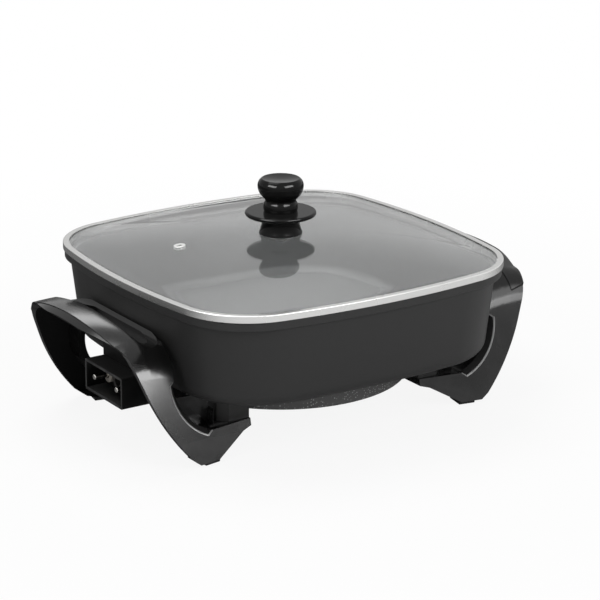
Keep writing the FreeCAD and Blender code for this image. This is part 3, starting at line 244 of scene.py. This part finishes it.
def bevel(bm, edges, width, steps, material=-1, clamp=True):
    """Rounds those of the edges that are still there, or cuts them flat where it takes one step."""
    bmesh.ops.bevel(
        bm,
        geom=[edge for edge in edges if edge.is_valid],
        offset=width,
        offset_type="OFFSET",
        affect="EDGES",
        segments=steps,
        profile=0.5,
        material=material,
        clamp_overlap=clamp,
    )


def as_piece(bm, name, body, materials, nodes):
    """Makes the mesh an object that rides on its body and stands for its solids in the frame."""
    bmesh.ops.recalc_face_normals(bm, faces=bm.faces)
    mesh = bpy.data.meshes.new(name)
    bm.to_mesh(mesh)
    bm.free()
    mesh.shade_smooth()
    mesh.set_sharp_from_angle(angle=CREASE)
    for material in materials:
        mesh.materials.append(material)
    piece = bpy.data.objects.new(name, mesh)
    bpy.context.collection.objects.link(piece)
    weighted = piece.modifiers.new("weighted_normals", "WEIGHTED_NORMAL")
    weighted.keep_sharp = True
    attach(piece, body)
    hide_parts(*nodes)
    return piece


def new_group(name, inputs, outputs):
    """An empty shader group with its inputs and their defaults, and float or colour outputs."""
    tree = bpy.data.node_groups.new(name, "ShaderNodeTree")
    for label, default in inputs.items():
        kind = "NodeSocketColor" if isinstance(default, tuple) else "NodeSocketFloat"
        tree.interface.new_socket(label, in_out="INPUT", socket_type=kind).default_value = default
    for label, kind in outputs.items():
        tree.interface.new_socket(label, in_out="OUTPUT", socket_type=kind)
    return tree, tree.nodes.new("NodeGroupInput"), tree.nodes.new("NodeGroupOutput")


def tinted(tree, share, plain, other):
    """A colour that goes from the plain one to the other as the share goes from nought to one."""
    return add(tree, "Mix", {0: share, 6: plain, 7: other}, data_type="RGBA").outputs[2]


# The cast and moulded skin that most pieces share: a fine grain to bump, and a gloss that drifts.
skin_tree, given, result = new_group(
    "skin_grain",
    {"Grain": 1200.0, "Patch": 22.0, "Roughness": 0.4, "Drift": 0.1},
    {"Height": "NodeSocketFloat", "Roughness": "NodeSocketFloat"},
)
where = add(skin_tree, "TexCoord").outputs["Object"]
grain = add(skin_tree, "TexNoise", {"Vector": where, "Scale": given.outputs["Grain"], "Detail": 3.0})
patch = add(skin_tree, "TexNoise", {"Vector": where, "Scale": given.outputs["Patch"], "Detail": 4.0})
centred = add(skin_tree, "Math", {0: patch.outputs[0], 1: 0.5}, operation="SUBTRACT")
drift = add(
    skin_tree,
    "Math",
    {0: centred.outputs[0], 1: given.outputs["Drift"], 2: given.outputs["Roughness"]},
    operation="MULTIPLY_ADD",
)
skin_tree.links.new(grain.outputs[0], result.inputs["Height"])
skin_tree.links.new(drift.outputs[0], result.inputs["Roughness"])

# Paler edges: where the surface turns outwards the colour is a little paler, partly edge wear and
# partly a painted highlight along the edge.
wear_and_highlight_tree, given, result = new_group(
    "wear_and_highlight_edges",
    {"Color": (0.05, 0.05, 0.05, 1), "Edge Color": (0.2, 0.2, 0.2, 1), "Amount": 0.5},
    {"Color": "NodeSocketColor"},
)
bend = add(wear_and_highlight_tree, "NewGeometry").outputs["Pointiness"]
turned_out = add(wear_and_highlight_tree, "MapRange", {0: bend, 1: EDGE_PALE_FROM, 2: EDGE_PALE_FULL}).outputs[0]
where = add(wear_and_highlight_tree, "TexCoord").outputs["Object"]
edge_breakup = add(wear_and_highlight_tree, "TexNoise", {"Vector": where, "Scale": EDGE_PALE_SCALE, "Detail": 5.0}).outputs[0]
wear_and_highlight_share = product(wear_and_highlight_tree, product(wear_and_highlight_tree, turned_out, edge_breakup), given.outputs["Amount"])
paler_edge_colour = tinted(wear_and_highlight_tree, wear_and_highlight_share, given.outputs["Color"], given.outputs["Edge Color"])
wear_and_highlight_tree.links.new(paler_edge_colour, result.inputs["Color"])

# Small flecks scattered in a colour, as in speckled enamel or dust on a dark surface.
fleck_tree, given, result = new_group(
    "flecks",
    {
        "Color": (0.05, 0.05, 0.05, 1),
        "Fleck Color": (0.3, 0.3, 0.3, 1),
        "Fleck Scale": 700.0,
        "Amount": 0.3,
    },
    {"Color": "NodeSocketColor"},
)
where = add(fleck_tree, "TexCoord").outputs["Object"]
cells = add(fleck_tree, "TexVoronoi", {"Vector": where, "Scale": given.outputs["Fleck Scale"]})
chosen = add(fleck_tree, "SeparateColor", {0: cells.outputs["Color"]}).outputs[0]
threshold = add(fleck_tree, "Math", {0: 1.0, 1: given.outputs["Amount"]}, operation="SUBTRACT").outputs[0]
picked = add(fleck_tree, "Math", {0: chosen, 1: threshold}, operation="GREATER_THAN").outputs[0]
near = add(fleck_tree, "MapRange", {0: cells.outputs["Distance"], 1: FLECK_EDGE, 2: FLECK_CORE}).outputs[0]
mask = product(fleck_tree, picked, near)
flecked = tinted(fleck_tree, mask, given.outputs["Color"], given.outputs["Fleck Color"])
fleck_tree.links.new(flecked, result.inputs["Color"])


def grey(level):
    """A neutral colour."""
    return (level, level, level, 1)


def finish(
    name, colour, grain, depth, roughness, drift=0.1, patch=22.0, edges=None, flecks=None, **sockets
):
    """A material: colour, flecks, paler edges (wear and a painted highlight), a grained bump, a drifting
    gloss.
    """
    material = bpy.data.materials.new(name)
    material.use_nodes = True
    tree = material.node_tree
    shader = tree.nodes["Principled BSDF"]
    for key, value in sockets.items():
        shader.inputs[key.replace("_", " ")].default_value = value
    surface = {"Grain": grain, "Patch": patch, "Roughness": roughness, "Drift": drift}
    skin = add(tree, "Group", surface, node_tree=skin_tree)
    tree.links.new(skin.outputs["Roughness"], shader.inputs["Roughness"])
    bump = add(tree, "Bump", {"Height": skin.outputs["Height"], "Distance": depth, "Strength": 1.0})
    tree.links.new(bump.outputs[0], shader.inputs["Normal"])
    shade = colour
    if flecks:
        fleck_colour, scale, amount = flecks
        spots = {"Color": shade, "Fleck Color": fleck_colour, "Fleck Scale": scale, "Amount": amount}
        shade = add(tree, "Group", spots, node_tree=fleck_tree).outputs["Color"]
    # Paler edges: partly wear, partly a painted highlight along the edge.
    if edges:
        edge_colour, amount = edges
        paler_edge_inputs = {"Color": shade, "Edge Color": edge_colour, "Amount": amount}
        shade = add(tree, "Group", paler_edge_inputs, node_tree=wear_and_highlight_tree).outputs["Color"]
    if isinstance(shade, tuple):
        shader.inputs["Base Color"].default_value = shade
    else:
        tree.links.new(shade, shader.inputs["Base Color"])
    return material


pan_coating = finish(
    "pan_coating",
    grey(0.032),
    grain=1800,
    depth=0.015 * MM,
    roughness=0.40,
    edges=(grey(0.22), 0.35),
    flecks=(grey(0.036), 1100.0, 0.12),
    Specular_IOR_Level=0.22,
)
pan_inside = finish(
    "pan_nonstick",
    grey(0.16),
    grain=1800,
    depth=0.012 * MM,
    roughness=0.38,
    flecks=(grey(0.19), 1600.0, 0.15),
)

shell = bmesh.new()
floor_loss = (LIP_BOTTOM - PAN_FLOOR) * DRAFT + WALL
bottom_loss = (LIP_BOTTOM - PAN_BOTTOM) * DRAFT
rings = [
    bowed_ring(shell, WALL_SHAPE, floor_loss, PAN_FLOOR),
    bowed_ring(shell, WALL_SHAPE, WALL, LEDGE),
    bowed_ring(shell, LIP_SHAPE, LIP_WALL, LEDGE),
    bowed_ring(shell, LIP_SHAPE, LIP_WALL, LIP_TOP),
    bowed_ring(shell, LIP_SHAPE, 0, LIP_TOP),
    bowed_ring(shell, LIP_SHAPE, 0, LIP_BOTTOM),
    bowed_ring(shell, WALL_SHAPE, 0, LIP_BOTTOM),
    bowed_ring(shell, WALL_SHAPE, bottom_loss, PAN_BOTTOM),
]
bridge(shell, rings, inside=(0, 1, 2))
inner_floor = bmesh.ops.edgeloop_fill(shell, edges=rings[0])["faces"]
inner_floor[0].material_index = 1
bmesh.ops.edgeloop_fill(shell, edges=rings[-1])
bmesh.ops.recalc_face_normals(shell, faces=shell.faces)
for ring, width, steps in (
    (rings[0], FLOOR_ROUND, 7),
    (rings[7], BOTTOM_ROUND, 8),
    (rings[4] + rings[5], LIP_ROUND, 3),
    (rings[3], LIP_ROUND / 2, 2),
):
    bevel(shell, ring, width, steps)
as_piece(shell, "pan_shell", "base", [pan_coating, pan_inside], ["pan"])

# The lugs, the heater's cast ring, the probe's boss and the posts stand under the pan's bottom and
# are part of the same casting. Their tops run a little way into the floor.
CUT_BELOW, CUT_BAND, SINK, CAST_EDGE = 0.1 * MM, 0.2 * MM, 0.6 * MM, 0.7 * MM
COPY_WELD, FLAT, TURNED = 0.002 * MM, math.radians(0.6), math.radians(30)


def merged_copy(node):
    """A bmesh of a solid in the frame, its loose triangles joined and its flat faces made whole."""
    bm = bmesh.new()
    bm.from_mesh(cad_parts[node].data)
    bmesh.ops.remove_doubles(bm, verts=bm.verts, dist=COPY_WELD)
    bmesh.ops.dissolve_limit(
        bm, angle_limit=FLAT, verts=bm.verts, edges=bm.edges, use_dissolve_boundaries=False
    )
    return bm


def ease_edges(bm, width):
    """Rounds every edge that turns clearly, as a mould or a file leaves it."""
    clear = [edge for edge in bm.edges if len(edge.link_faces) == 2 and edge.calc_face_angle(0) > TURNED]
    bevel(bm, clear, width, 2)


castings = merged_copy("pan")
cut = bmesh.ops.bisect_plane(
    castings,
    geom=castings.verts[:] + castings.edges[:] + castings.faces[:],
    plane_co=(0, 0, PAN_BOTTOM - CUT_BELOW),
    plane_no=(0, 0, 1),
    clear_outer=True,
)
cut_edges = [item for item in cut["geom_cut"] if isinstance(item, bmesh.types.BMEdge)]
bmesh.ops.holes_fill(castings, edges=cut_edges)
ease_edges(castings, CAST_EDGE)
for vert in castings.verts:
    if vert.co.z > PAN_BOTTOM - CUT_BAND:
        vert.co.z += SINK
as_piece(castings, "pan_underside", "base", [pan_coating], ["pan"])

# The round cover under the heater: a shallow tray pressed from steel sheet and enamelled black
# with pale specks, held by three screws. The socket's shroud fills the slot in its wall, so the
# wall is left whole here.
COVER_SEGMENTS, TURN_WELD = 144, 0.003 * MM
SHEET, PRESS, BEND_STEPS = 1.2 * MM, 3 * MM, 5
cover_enamel = finish(
    "cover_enamel",
    grey(0.11),
    grain=1400,
    depth=0.02 * MM,
    roughness=0.36,
    edges=(grey(0.15), 0.3),
    flecks=(grey(0.5), 700.0, 0.4),
    Specular_IOR_Level=0.3,
)


def spun(outline, segments, middle=(0, 0, 0), axis=(0, 0, 1)):
    """Turns a half section, points of reach and height, about an axis through the middle."""
    bm = bmesh.new()
    verts = [bm.verts.new((reach, 0, height)) for reach, height in outline]
    edges = [bm.edges.new(pair) for pair in zip(verts, verts[1:])]
    bmesh.ops.spin(
        bm,
        geom=verts + edges,
        cent=(0, 0, 0),
        axis=(0, 0, 1),
        angle=2 * math.pi,
        steps=segments,
        use_merge=True,
    )
    bmesh.ops.remove_doubles(bm, verts=bm.verts, dist=TURN_WELD)
    turn = Vector((0, 0, 1)).rotation_difference(Vector(axis)).to_matrix()
    bmesh.ops.rotate(bm, cent=(0, 0, 0), matrix=turn, verts=bm.verts)
    bmesh.ops.translate(bm, vec=middle, verts=bm.verts)
    bmesh.ops.recalc_face_normals(bm, faces=bm.faces)
    return bm


def arc_through(start, end, radius, outward, steps):
    """Points on the short arc between two points of a half section, its start left out."""
    start, end = Vector(start), Vector(end)
    chord = end - start
    right = Vector((chord.y, -chord.x)).normalized()
    rise = math.sqrt(radius**2 - (chord.length / 2) ** 2)
    centre = (start + end) / 2 + right * (-rise if outward else rise)
    sweep = 2 * math.asin(chord.length / 2 / radius) * (1 if outward else -1)
    spokes = [Matrix.Rotation(sweep * step / steps, 2) @ (start - centre) for step in range(1, steps + 1)]
    return [tuple(centre + spoke) for spoke in spokes]


cover_low, cover_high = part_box("base_cover")
flat_reach, inner_reach = cover_high.x - PRESS, cover_high.x - SHEET
cover_outline = [(0, cover_low.z), (flat_reach, cover_low.z)]
cover_outline += arc_through(
    cover_outline[-1], (cover_high.x, cover_low.z + PRESS), PRESS, True, BEND_STEPS
)
cover_outline += [(cover_high.x, cover_high.z), (inner_reach, cover_high.z)]
cover_outline += [(inner_reach, cover_low.z + PRESS)]
cover_outline += arc_through(
    cover_outline[-1], (flat_reach, cover_low.z + SHEET), PRESS - SHEET, False, BEND_STEPS
)
cover_outline += [(0, cover_low.z + SHEET)]
tray = spun(cover_outline, COVER_SEGMENTS)
as_piece(tray, "base_cover_tray", "base", [cover_enamel], ["base_cover"])

# The socket's shroud: a phenolic box, open to the side, with a flange against the pan and a channel
# that carries the heater's leads. Its matt surface is paler at the outer edges, partly as wear and
# partly as a painted highlight.
SHROUD_EDGE = 0.5 * MM
socket_phenolic = finish(
    "socket_phenolic",
    grey(0.006),
    grain=2200,
    depth=0.02 * MM,
    roughness=0.42,
    edges=(grey(0.14), 0.6),
    Specular_IOR_Level=0.16,
)
shroud = merged_copy("socket_shroud")
ease_edges(shroud, SHROUD_EDGE)
as_piece(shroud, "socket_shroud_box", "base", [socket_phenolic], ["socket_shroud"])

# The terminal pins: the heater's two ends, where the thermostat's plug makes contact. They are
# bright nickel-plated steel, turned to a round tip and held in ceramic bushes.
PIN, PIN_ROOT, PIN_APART, LEAD_HEIGHT = 2.4 * MM, 2.8 * MM, 17.5 * MM, 44.6 * MM
PIN_TIP, PIN_SHOULDER, PIN_END, TIP_ROUND = 161.4 * MM, 149.6 * MM, 130 * MM, 1.0 * MM
PIN_SEGMENTS, TIP_STEPS = 40, 5
# The nickel's colour is toned down a little, as painted shade on the pins deep in the socket.
nickel_plate = finish(
    "nickel_plate",
    (0.60, 0.585, 0.555, 1),
    grain=900,
    depth=0.004 * MM,
    roughness=0.16,
    drift=0.08,
    Metallic=1.0,
)
pin_outline = [(0, PIN_END), (PIN_ROOT, PIN_END), (PIN_ROOT, PIN_SHOULDER), (PIN, PIN_SHOULDER)]
pin_outline += [(PIN, PIN_TIP - TIP_ROUND)]
pin_outline += arc_through(pin_outline[-1], (PIN - TIP_ROUND, PIN_TIP), TIP_ROUND, True, TIP_STEPS)
pin_outline += [(0, PIN_TIP)]
for name, along in (("front_terminal_pin", -PIN_APART), ("rear_terminal_pin", PIN_APART)):
    pin = spun(pin_outline, PIN_SEGMENTS, (0, along, LEAD_HEIGHT), (-1, 0, 0))
    as_piece(pin, name, "base", [nickel_plate], ["terminal_pins"])

# The handles: arched phenolic channels that are also the legs, moulded with a raised grip panel.
# Their skin is semi-gloss black with eased edges. The faces that turn in towards the pan or face
# down take a duller copy of it as painted shade, and a pale line along each instep is a painted highlight.
INSTEP_CHAMFER, INSTEP_EDGE, INSTEP_LOW, INSTEP_HIGH = 4 * MM, 0.8 * MM, 25.6 * MM, 67 * MM
SOLE_HIGH, HEEL_REACH, HEEL_SIDE, FLANK_SIDE = 8 * MM, 131 * MM, 84 * MM, 75 * MM
ACROSS, INWARD, SKEW, SHARP = 0.9, 0.1, 0.4, 1.0
GRIP_INNER, GRIP_OUTER, HANDLE_EDGE = 170.5 * MM, 191 * MM, 0.6 * MM
SHOULDER, SHOULDER_START, SHOULDER_END, SHOULDER_DROP = 63.4 * MM, 24 * MM, 81 * MM, 9.3 * MM
SHOULDER_SINK, HIDDEN_ACROSS, HIDDEN_DOWN = 0.6, 0.3, 0.5
SKIN, SHADE_SLOT, EDGE_HIGHLIGHT = 0, 1, 2
handle_phenolic = finish(
    "handle_phenolic",
    grey(0.004),
    grain=1600,
    depth=0.008 * MM,
    roughness=0.18,
    drift=0.06,
    edges=(grey(0.10), 0.4),
    Specular_IOR_Level=0.3,
)
# A duller, less reflective copy of the phenolic: painted shade on the faces turned in or down.
handle_painted_shade = finish(
    "handle_painted_shade", grey(0.005), grain=2000, depth=0.02 * MM, roughness=0.5, Specular_IOR_Level=0.12
)
# A pale grey for the narrow bevel along each instep: a painted highlight where that edge meets the light.
handle_painted_highlight = finish("handle_painted_highlight", grey(0.12), grain=1600, depth=0.008 * MM, roughness=0.4)


def instep_edges(bm, side):
    """The edges where a leg's outer face turns in towards the pan."""
    found = []
    for edge in bm.edges:
        if len(edge.link_faces) != 2:
            continue
        height = (edge.verts[0].co.z + edge.verts[1].co.z) / 2
        flank, inner = sorted((face.normal for face in edge.link_faces), key=lambda normal: -abs(normal.y))
        on_leg = INSTEP_LOW < height < INSTEP_HIGH and abs(edge.verts[0].co.y) > FLANK_SIDE
        turns_in = inner.x * side < -INWARD and abs(inner.y) < SKEW
        if on_leg and abs(flank.y) > ACROSS and turns_in and edge.calc_face_angle(0) > SHARP:
            found.append(edge)
    return found


def round_shoulders(bm):
    """Turns the two corners in the grip's outline, seen from above, into one sweep each."""
    for vert in bm.verts:
        along = abs(vert.co.y)
        share = min(max((abs(vert.co.x) - GRIP_INNER) / (GRIP_OUTER - GRIP_INNER), 0), 1)
        if share and SHOULDER_START < along < SHOULDER_END:
            way = (along - SHOULDER_START) / (SHOULDER_END - SHOULDER_START)
            straight = max(along - SHOULDER, 0) / (SHOULDER_END - SHOULDER)
            swept = SHOULDER_DROP * (way**2 - straight) * share
            vert.co.x -= math.copysign(swept, vert.co.x)
            vert.co.z -= SHOULDER_SINK * swept


for node, side, lit in (("left_handle", -1, left_grip), ("right_handle", 1, right_grip)):
    handle = merged_copy(node)
    for vert in handle.verts:
        if vert.co.z < SOLE_HIGH and abs(vert.co.x) > HEEL_REACH and abs(vert.co.y) < HEEL_SIDE:
            vert.co.y = math.copysign(HEEL_SIDE, vert.co.y)
    handle.normal_update()
    # The instep's chamfer takes the duller copy, as painted shade.
    bevel(handle, instep_edges(handle, side), INSTEP_CHAMFER, 1, SHADE_SLOT, clamp=False)
    handle.normal_update()
    outer = [
        edge
        for edge in handle.edges
        if sorted(face.material_index for face in edge.link_faces) == [SKIN, SHADE_SLOT]
        and max(abs(face.normal.y) for face in edge.link_faces) > ACROSS
    ]
    # The narrow pale bevel on the chamfer's outer edge is a painted highlight.
    bevel(handle, outer, INSTEP_EDGE, 1, EDGE_HIGHLIGHT, clamp=False)
    round_shoulders(handle)
    ease_edges(handle, HANDLE_EDGE)
    # Faces that turn in towards the pan or face down take the duller copy, as painted shade.
    for face in handle.faces:
        middle = face.calc_center_median()
        face.normal_update()
        turned_in = face.normal.y * middle.y < 0 and abs(face.normal.y) > HIDDEN_ACROSS
        if face.material_index == SKIN and (turned_in or face.normal.z < -HIDDEN_DOWN):
            face.material_index = SHADE_SLOT
    skins = [handle_phenolic, handle_painted_shade, handle_painted_highlight]
    moulding = as_piece(handle, node + "_moulding", "base", skins, [node])
    grips.objects.link(moulding)
    lit.objects.link(moulding)

# The rubber feet: four soft black blocks, one under each leg, with a peg that is pressed up into
# the leg's sole.
FOOT_EDGE = 0.3 * MM
foot_rubber = finish("foot_rubber", grey(0.022), grain=1800, depth=0.05 * MM, roughness=0.75)
pads = merged_copy("foot_pads")
ease_edges(pads, FOOT_EDGE)
as_piece(pads, "foot_pads_moulded", "base", [foot_rubber], ["foot_pads"])

# The lid's glass: one clear tempered pane with a flat clamped border, slumped to a shallow dome.
# The hole in its middle takes the knob's screw.
GLASS_SHAPE = (148.8 * MM, 59.8 * MM, 612 * MM)
GLASS_UNDER, GLASS_THICK = 123.1 * MM, 4 * MM
DOME_HALF, DOME_RISE, DOME_BOW, KNOB_HOLE = 144.6 * MM, 13.6 * MM, 4.2, 3.4 * MM
DOME_CORNER, DOME_ROUNDER, HOLE_CORNER = 0.39, 0.5, 0.999
DOME_SHARES = (1.0, 0.94, 0.86, 0.76, 0.65, 0.54, 0.43, 0.32, 0.22, 0.13, 0.07)
lid_glass = bpy.data.materials.new("lid_glass")
lid_glass.use_nodes = True
pane = lid_glass.node_tree
clear = pane.nodes["Principled BSDF"]
clear.inputs["Base Color"].default_value = (0.97, 0.98, 0.98, 1)
clear.inputs["Transmission Weight"].default_value = 1.0
clear.inputs["IOR"].default_value = 1.5
clear.inputs["Roughness"].default_value = 0.0
through = add(pane, "BsdfTransparent", {"Color": (0.93, 0.94, 0.94, 1)})
in_shadow = add(pane, "LightPath").outputs["Is Shadow Ray"]
shadowed = add(pane, "MixShader", {0: in_shadow, 1: clear.outputs[0], 2: through.outputs[0]})
pane.links.new(shadowed.outputs[0], pane.nodes["Material Output"].inputs["Surface"])


def dome_rings(bm, half, height):
    """Rings up one face of the dome, from the dome's edge in to the knob's hole."""
    rings = []
    for share in DOME_SHARES:
        reach = half * share
        shape = (reach, reach * (DOME_CORNER + DOME_ROUNDER * (1 - share)), reach * DOME_BOW)
        rings.append(bowed_ring(bm, shape, 0, height + DOME_RISE * (1 - share**2)))
    hole = (KNOB_HOLE, KNOB_HOLE * HOLE_CORNER, KNOB_HOLE * DOME_BOW)
    rings.append(bowed_ring(bm, hole, 0, height + DOME_RISE))
    return rings


glass = bmesh.new()
top_rings = dome_rings(glass, DOME_HALF, GLASS_UNDER + GLASS_THICK)
under_rings = dome_rings(glass, DOME_HALF - GLASS_THICK, GLASS_UNDER)
border = [bowed_ring(glass, GLASS_SHAPE, 0, GLASS_UNDER + lift) for lift in (GLASS_THICK, 0)]
loop = top_rings[::-1] + border + under_rings
bridge(glass, loop + [loop[0]])
as_piece(glass, "lid_glass_dome", "lid", [lid_glass], ["lid_glass"])

# The lid's rim: a channel rolled from polished stainless sheet round the edge of the glass, with
# a skirt that drops inside the pan's lip.
RIM_SHAPE = (150 * MM, 62.2 * MM, 614.2 * MM)
RIM_LOW, RIM_TOP, RIM_SHEET, RIM_FLANGE = 122.3 * MM, 128 * MM, 0.7 * MM, 5 * MM
SKIRT_OUT, SKIRT_LOW = 5.2 * MM, 117.7 * MM
TOP_ROLL, LOW_ROLL, FLANGE_ROLL = 0.8 * MM, 0.5 * MM, 0.3 * MM
rim_steel = finish(
    "rim_steel",
    (0.76, 0.76, 0.75, 1),
    grain=700,
    depth=0.004 * MM,
    roughness=0.27,
    drift=0.08,
    Metallic=1.0,
)
rim_section = [
    (0, RIM_LOW),
    (0, RIM_TOP),
    (RIM_FLANGE, RIM_TOP),
    (RIM_FLANGE, RIM_TOP - RIM_SHEET),
    (RIM_SHEET, RIM_TOP - RIM_SHEET),
    (RIM_SHEET, RIM_LOW + RIM_SHEET),
    (SKIRT_OUT + RIM_SHEET, RIM_LOW + RIM_SHEET),
    (SKIRT_OUT + RIM_SHEET, SKIRT_LOW),
    (SKIRT_OUT, SKIRT_LOW),
    (SKIRT_OUT, RIM_LOW),
]
rim = bmesh.new()
rim_rings = [bowed_ring(rim, RIM_SHAPE, inset, height) for inset, height in rim_section]
bridge(rim, rim_rings + [rim_rings[0]])
bmesh.ops.recalc_face_normals(rim, faces=rim.faces)
bevel(rim, rim_rings[1], TOP_ROLL, 4)
bevel(rim, rim_rings[0], LOW_ROLL, 3)
bevel(rim, rim_rings[2], FLANGE_ROLL, 2)
as_piece(rim, "lid_rim_channel", "lid", [rim_steel], ["lid_rim"])

# The steam vent, to one side of the knob: a small steel eyelet that sits in a hole in the glass
# and is rolled over both of its faces. The pane is left whole here, across the eyelet's bore too.
EYELET_EDGE = 0.2 * MM
eyelet_steel = finish(
    "eyelet_steel",
    (0.86, 0.86, 0.85, 1),
    grain=700,
    depth=0.004 * MM,
    roughness=0.38,
    drift=0.08,
    Metallic=1.0,
)
eyelet = merged_copy("vent_eyelet")
ease_edges(eyelet, EYELET_EDGE)
as_piece(eyelet, "vent_eyelet_rolled", "lid", [eyelet_steel], ["vent_eyelet"])

# The knob: gloss black phenolic on a flared foot, with a wide disc between them that keeps the
# fingers off the hot glass. Each is turned round the lid's middle.
KNOB_SEGMENTS, KNOB_BORE = 96, 2.5 * MM
RECESS, RECESS_DEEP = 9.1 * MM, 1 * MM
FOOT_REACH, FOOT_TALL, FOOT_TOP, FOOT_FLARE = 17.3 * MM, 0.8 * MM, 15 * MM, 28 * MM
GUARD_ROUND, GUARD_STEPS = 1.001, 5
NECK_LOW, NECK_HIGH, NECK_TALL, NECK_BULGE = 13.2 * MM, 12.4 * MM, 8.1 * MM, 9 * MM
THROAT, THROAT_HIGH, THROAT_ROUND = 13.3 * MM, 10.6 * MM, 4 * MM
CHEEK, CHEEK_HIGH, CHEEK_ROUND = 18.3 * MM, 20.7 * MM, 12.7 * MM
CROWN, CROWN_ROUND, DISH_DEEP, DISH_ROUND = 15 * MM, 6.95 * MM, 1.2 * MM, 113.6 * MM
knob_phenolic = finish(
    "knob_phenolic",
    grey(0.002),
    grain=1000,
    depth=0.002 * MM,
    roughness=0.13,
    drift=0.05,
    edges=(grey(0.02), 0.2),
    Specular_IOR_Level=0.09,
)

foot_low, foot_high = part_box("knob_base")
foot_outline = [(KNOB_BORE, foot_low.z + RECESS_DEEP), (RECESS, foot_low.z + RECESS_DEEP)]
foot_outline += [(RECESS, foot_low.z), (FOOT_REACH, foot_low.z), (FOOT_REACH, foot_low.z + FOOT_TALL)]
foot_outline += arc_through(foot_outline[-1], (FOOT_TOP, foot_high.z), FOOT_FLARE, False, 12)
foot_outline += [(KNOB_BORE, foot_high.z), foot_outline[0]]

guard_low, guard_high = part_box("heat_guard")
guard_reach, guard_half = guard_high.x, (guard_high.z - guard_low.z) / 2
guard_outline = [(KNOB_BORE, guard_low.z), (guard_reach - guard_half, guard_low.z)]
for corner in ((guard_reach, guard_low.z + guard_half), (guard_reach - guard_half, guard_high.z)):
    guard_outline += arc_through(guard_outline[-1], corner, guard_half * GUARD_ROUND, True, GUARD_STEPS)
guard_outline += [(KNOB_BORE, guard_high.z), guard_outline[0]]

knob_low, knob_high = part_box("knob")
knob_outline = [(0, knob_low.z), (NECK_LOW, knob_low.z)]
for reach, height, radius, outward, steps in (
    (NECK_HIGH, knob_low.z + NECK_TALL, NECK_BULGE, True, 8),
    (THROAT, knob_low.z + THROAT_HIGH, THROAT_ROUND, False, 6),
    (CHEEK, knob_low.z + CHEEK_HIGH, CHEEK_ROUND, True, 12),
    (CROWN, knob_high.z, CROWN_ROUND, True, 8),
    (0, knob_high.z - DISH_DEEP, DISH_ROUND, False, 6),
):
    knob_outline += arc_through(knob_outline[-1], (reach, height), radius, outward, steps)

for outline, name, node in (
    (foot_outline, "knob_flared_foot", "knob_base"),
    (guard_outline, "knob_heat_guard", "heat_guard"),
    (knob_outline, "knob_head", "knob"),
):
    turned = spun(outline, KNOB_SEGMENTS)
    knob_parts.objects.link(as_piece(turned, name, "lid", [knob_phenolic], [node]))

# The small parts that stay as they are in the frame: screws, washers, seals, the ceramic
# insulators, the probe's sleeve, the heater and the brass insert.
zinc_steel = finish(
    "zinc_steel", (0.62, 0.62, 0.60, 1), grain=1200, depth=0.006 * MM, roughness=0.32, Metallic=1.0
)
# The heater's steel is dark: partly oxide, and partly painted shade for the probe's sleeve deep in the
# socket.
heater_steel = finish(
    "heater_steel", (0.12, 0.115, 0.11, 1), grain=1500, depth=0.01 * MM, roughness=0.5, Metallic=1.0
)
# The insulators' ceramic is a dark brown-grey rather than white: painted shade inside the socket.
ceramic = finish("ceramic", (0.30, 0.28, 0.25, 1), grain=2500, depth=0.02 * MM, roughness=0.6)
silicone = finish("silicone", grey(0.08), grain=1500, depth=0.02 * MM, roughness=0.6)
brass = finish(
    "insert_brass", (0.72, 0.55, 0.28, 1), grain=1200, depth=0.004 * MM, roughness=0.28, Metallic=1.0
)
kept = {
    "heating_element": heater_steel,
    "probe_sleeve": heater_steel,
    "pin_insulators": ceramic,
    "shroud_screws": zinc_steel,
    "cover_screws": zinc_steel,
    "handle_screws": zinc_steel,
    "handle_washers": zinc_steel,
    "lid_washer": zinc_steel,
    "knob_screw": zinc_steel,
    "knob_seals": silicone,
    "knob_insert": brass,
}
for node, material in kept.items():
    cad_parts[node].data.materials.clear()
    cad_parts[node].data.materials.append(material)
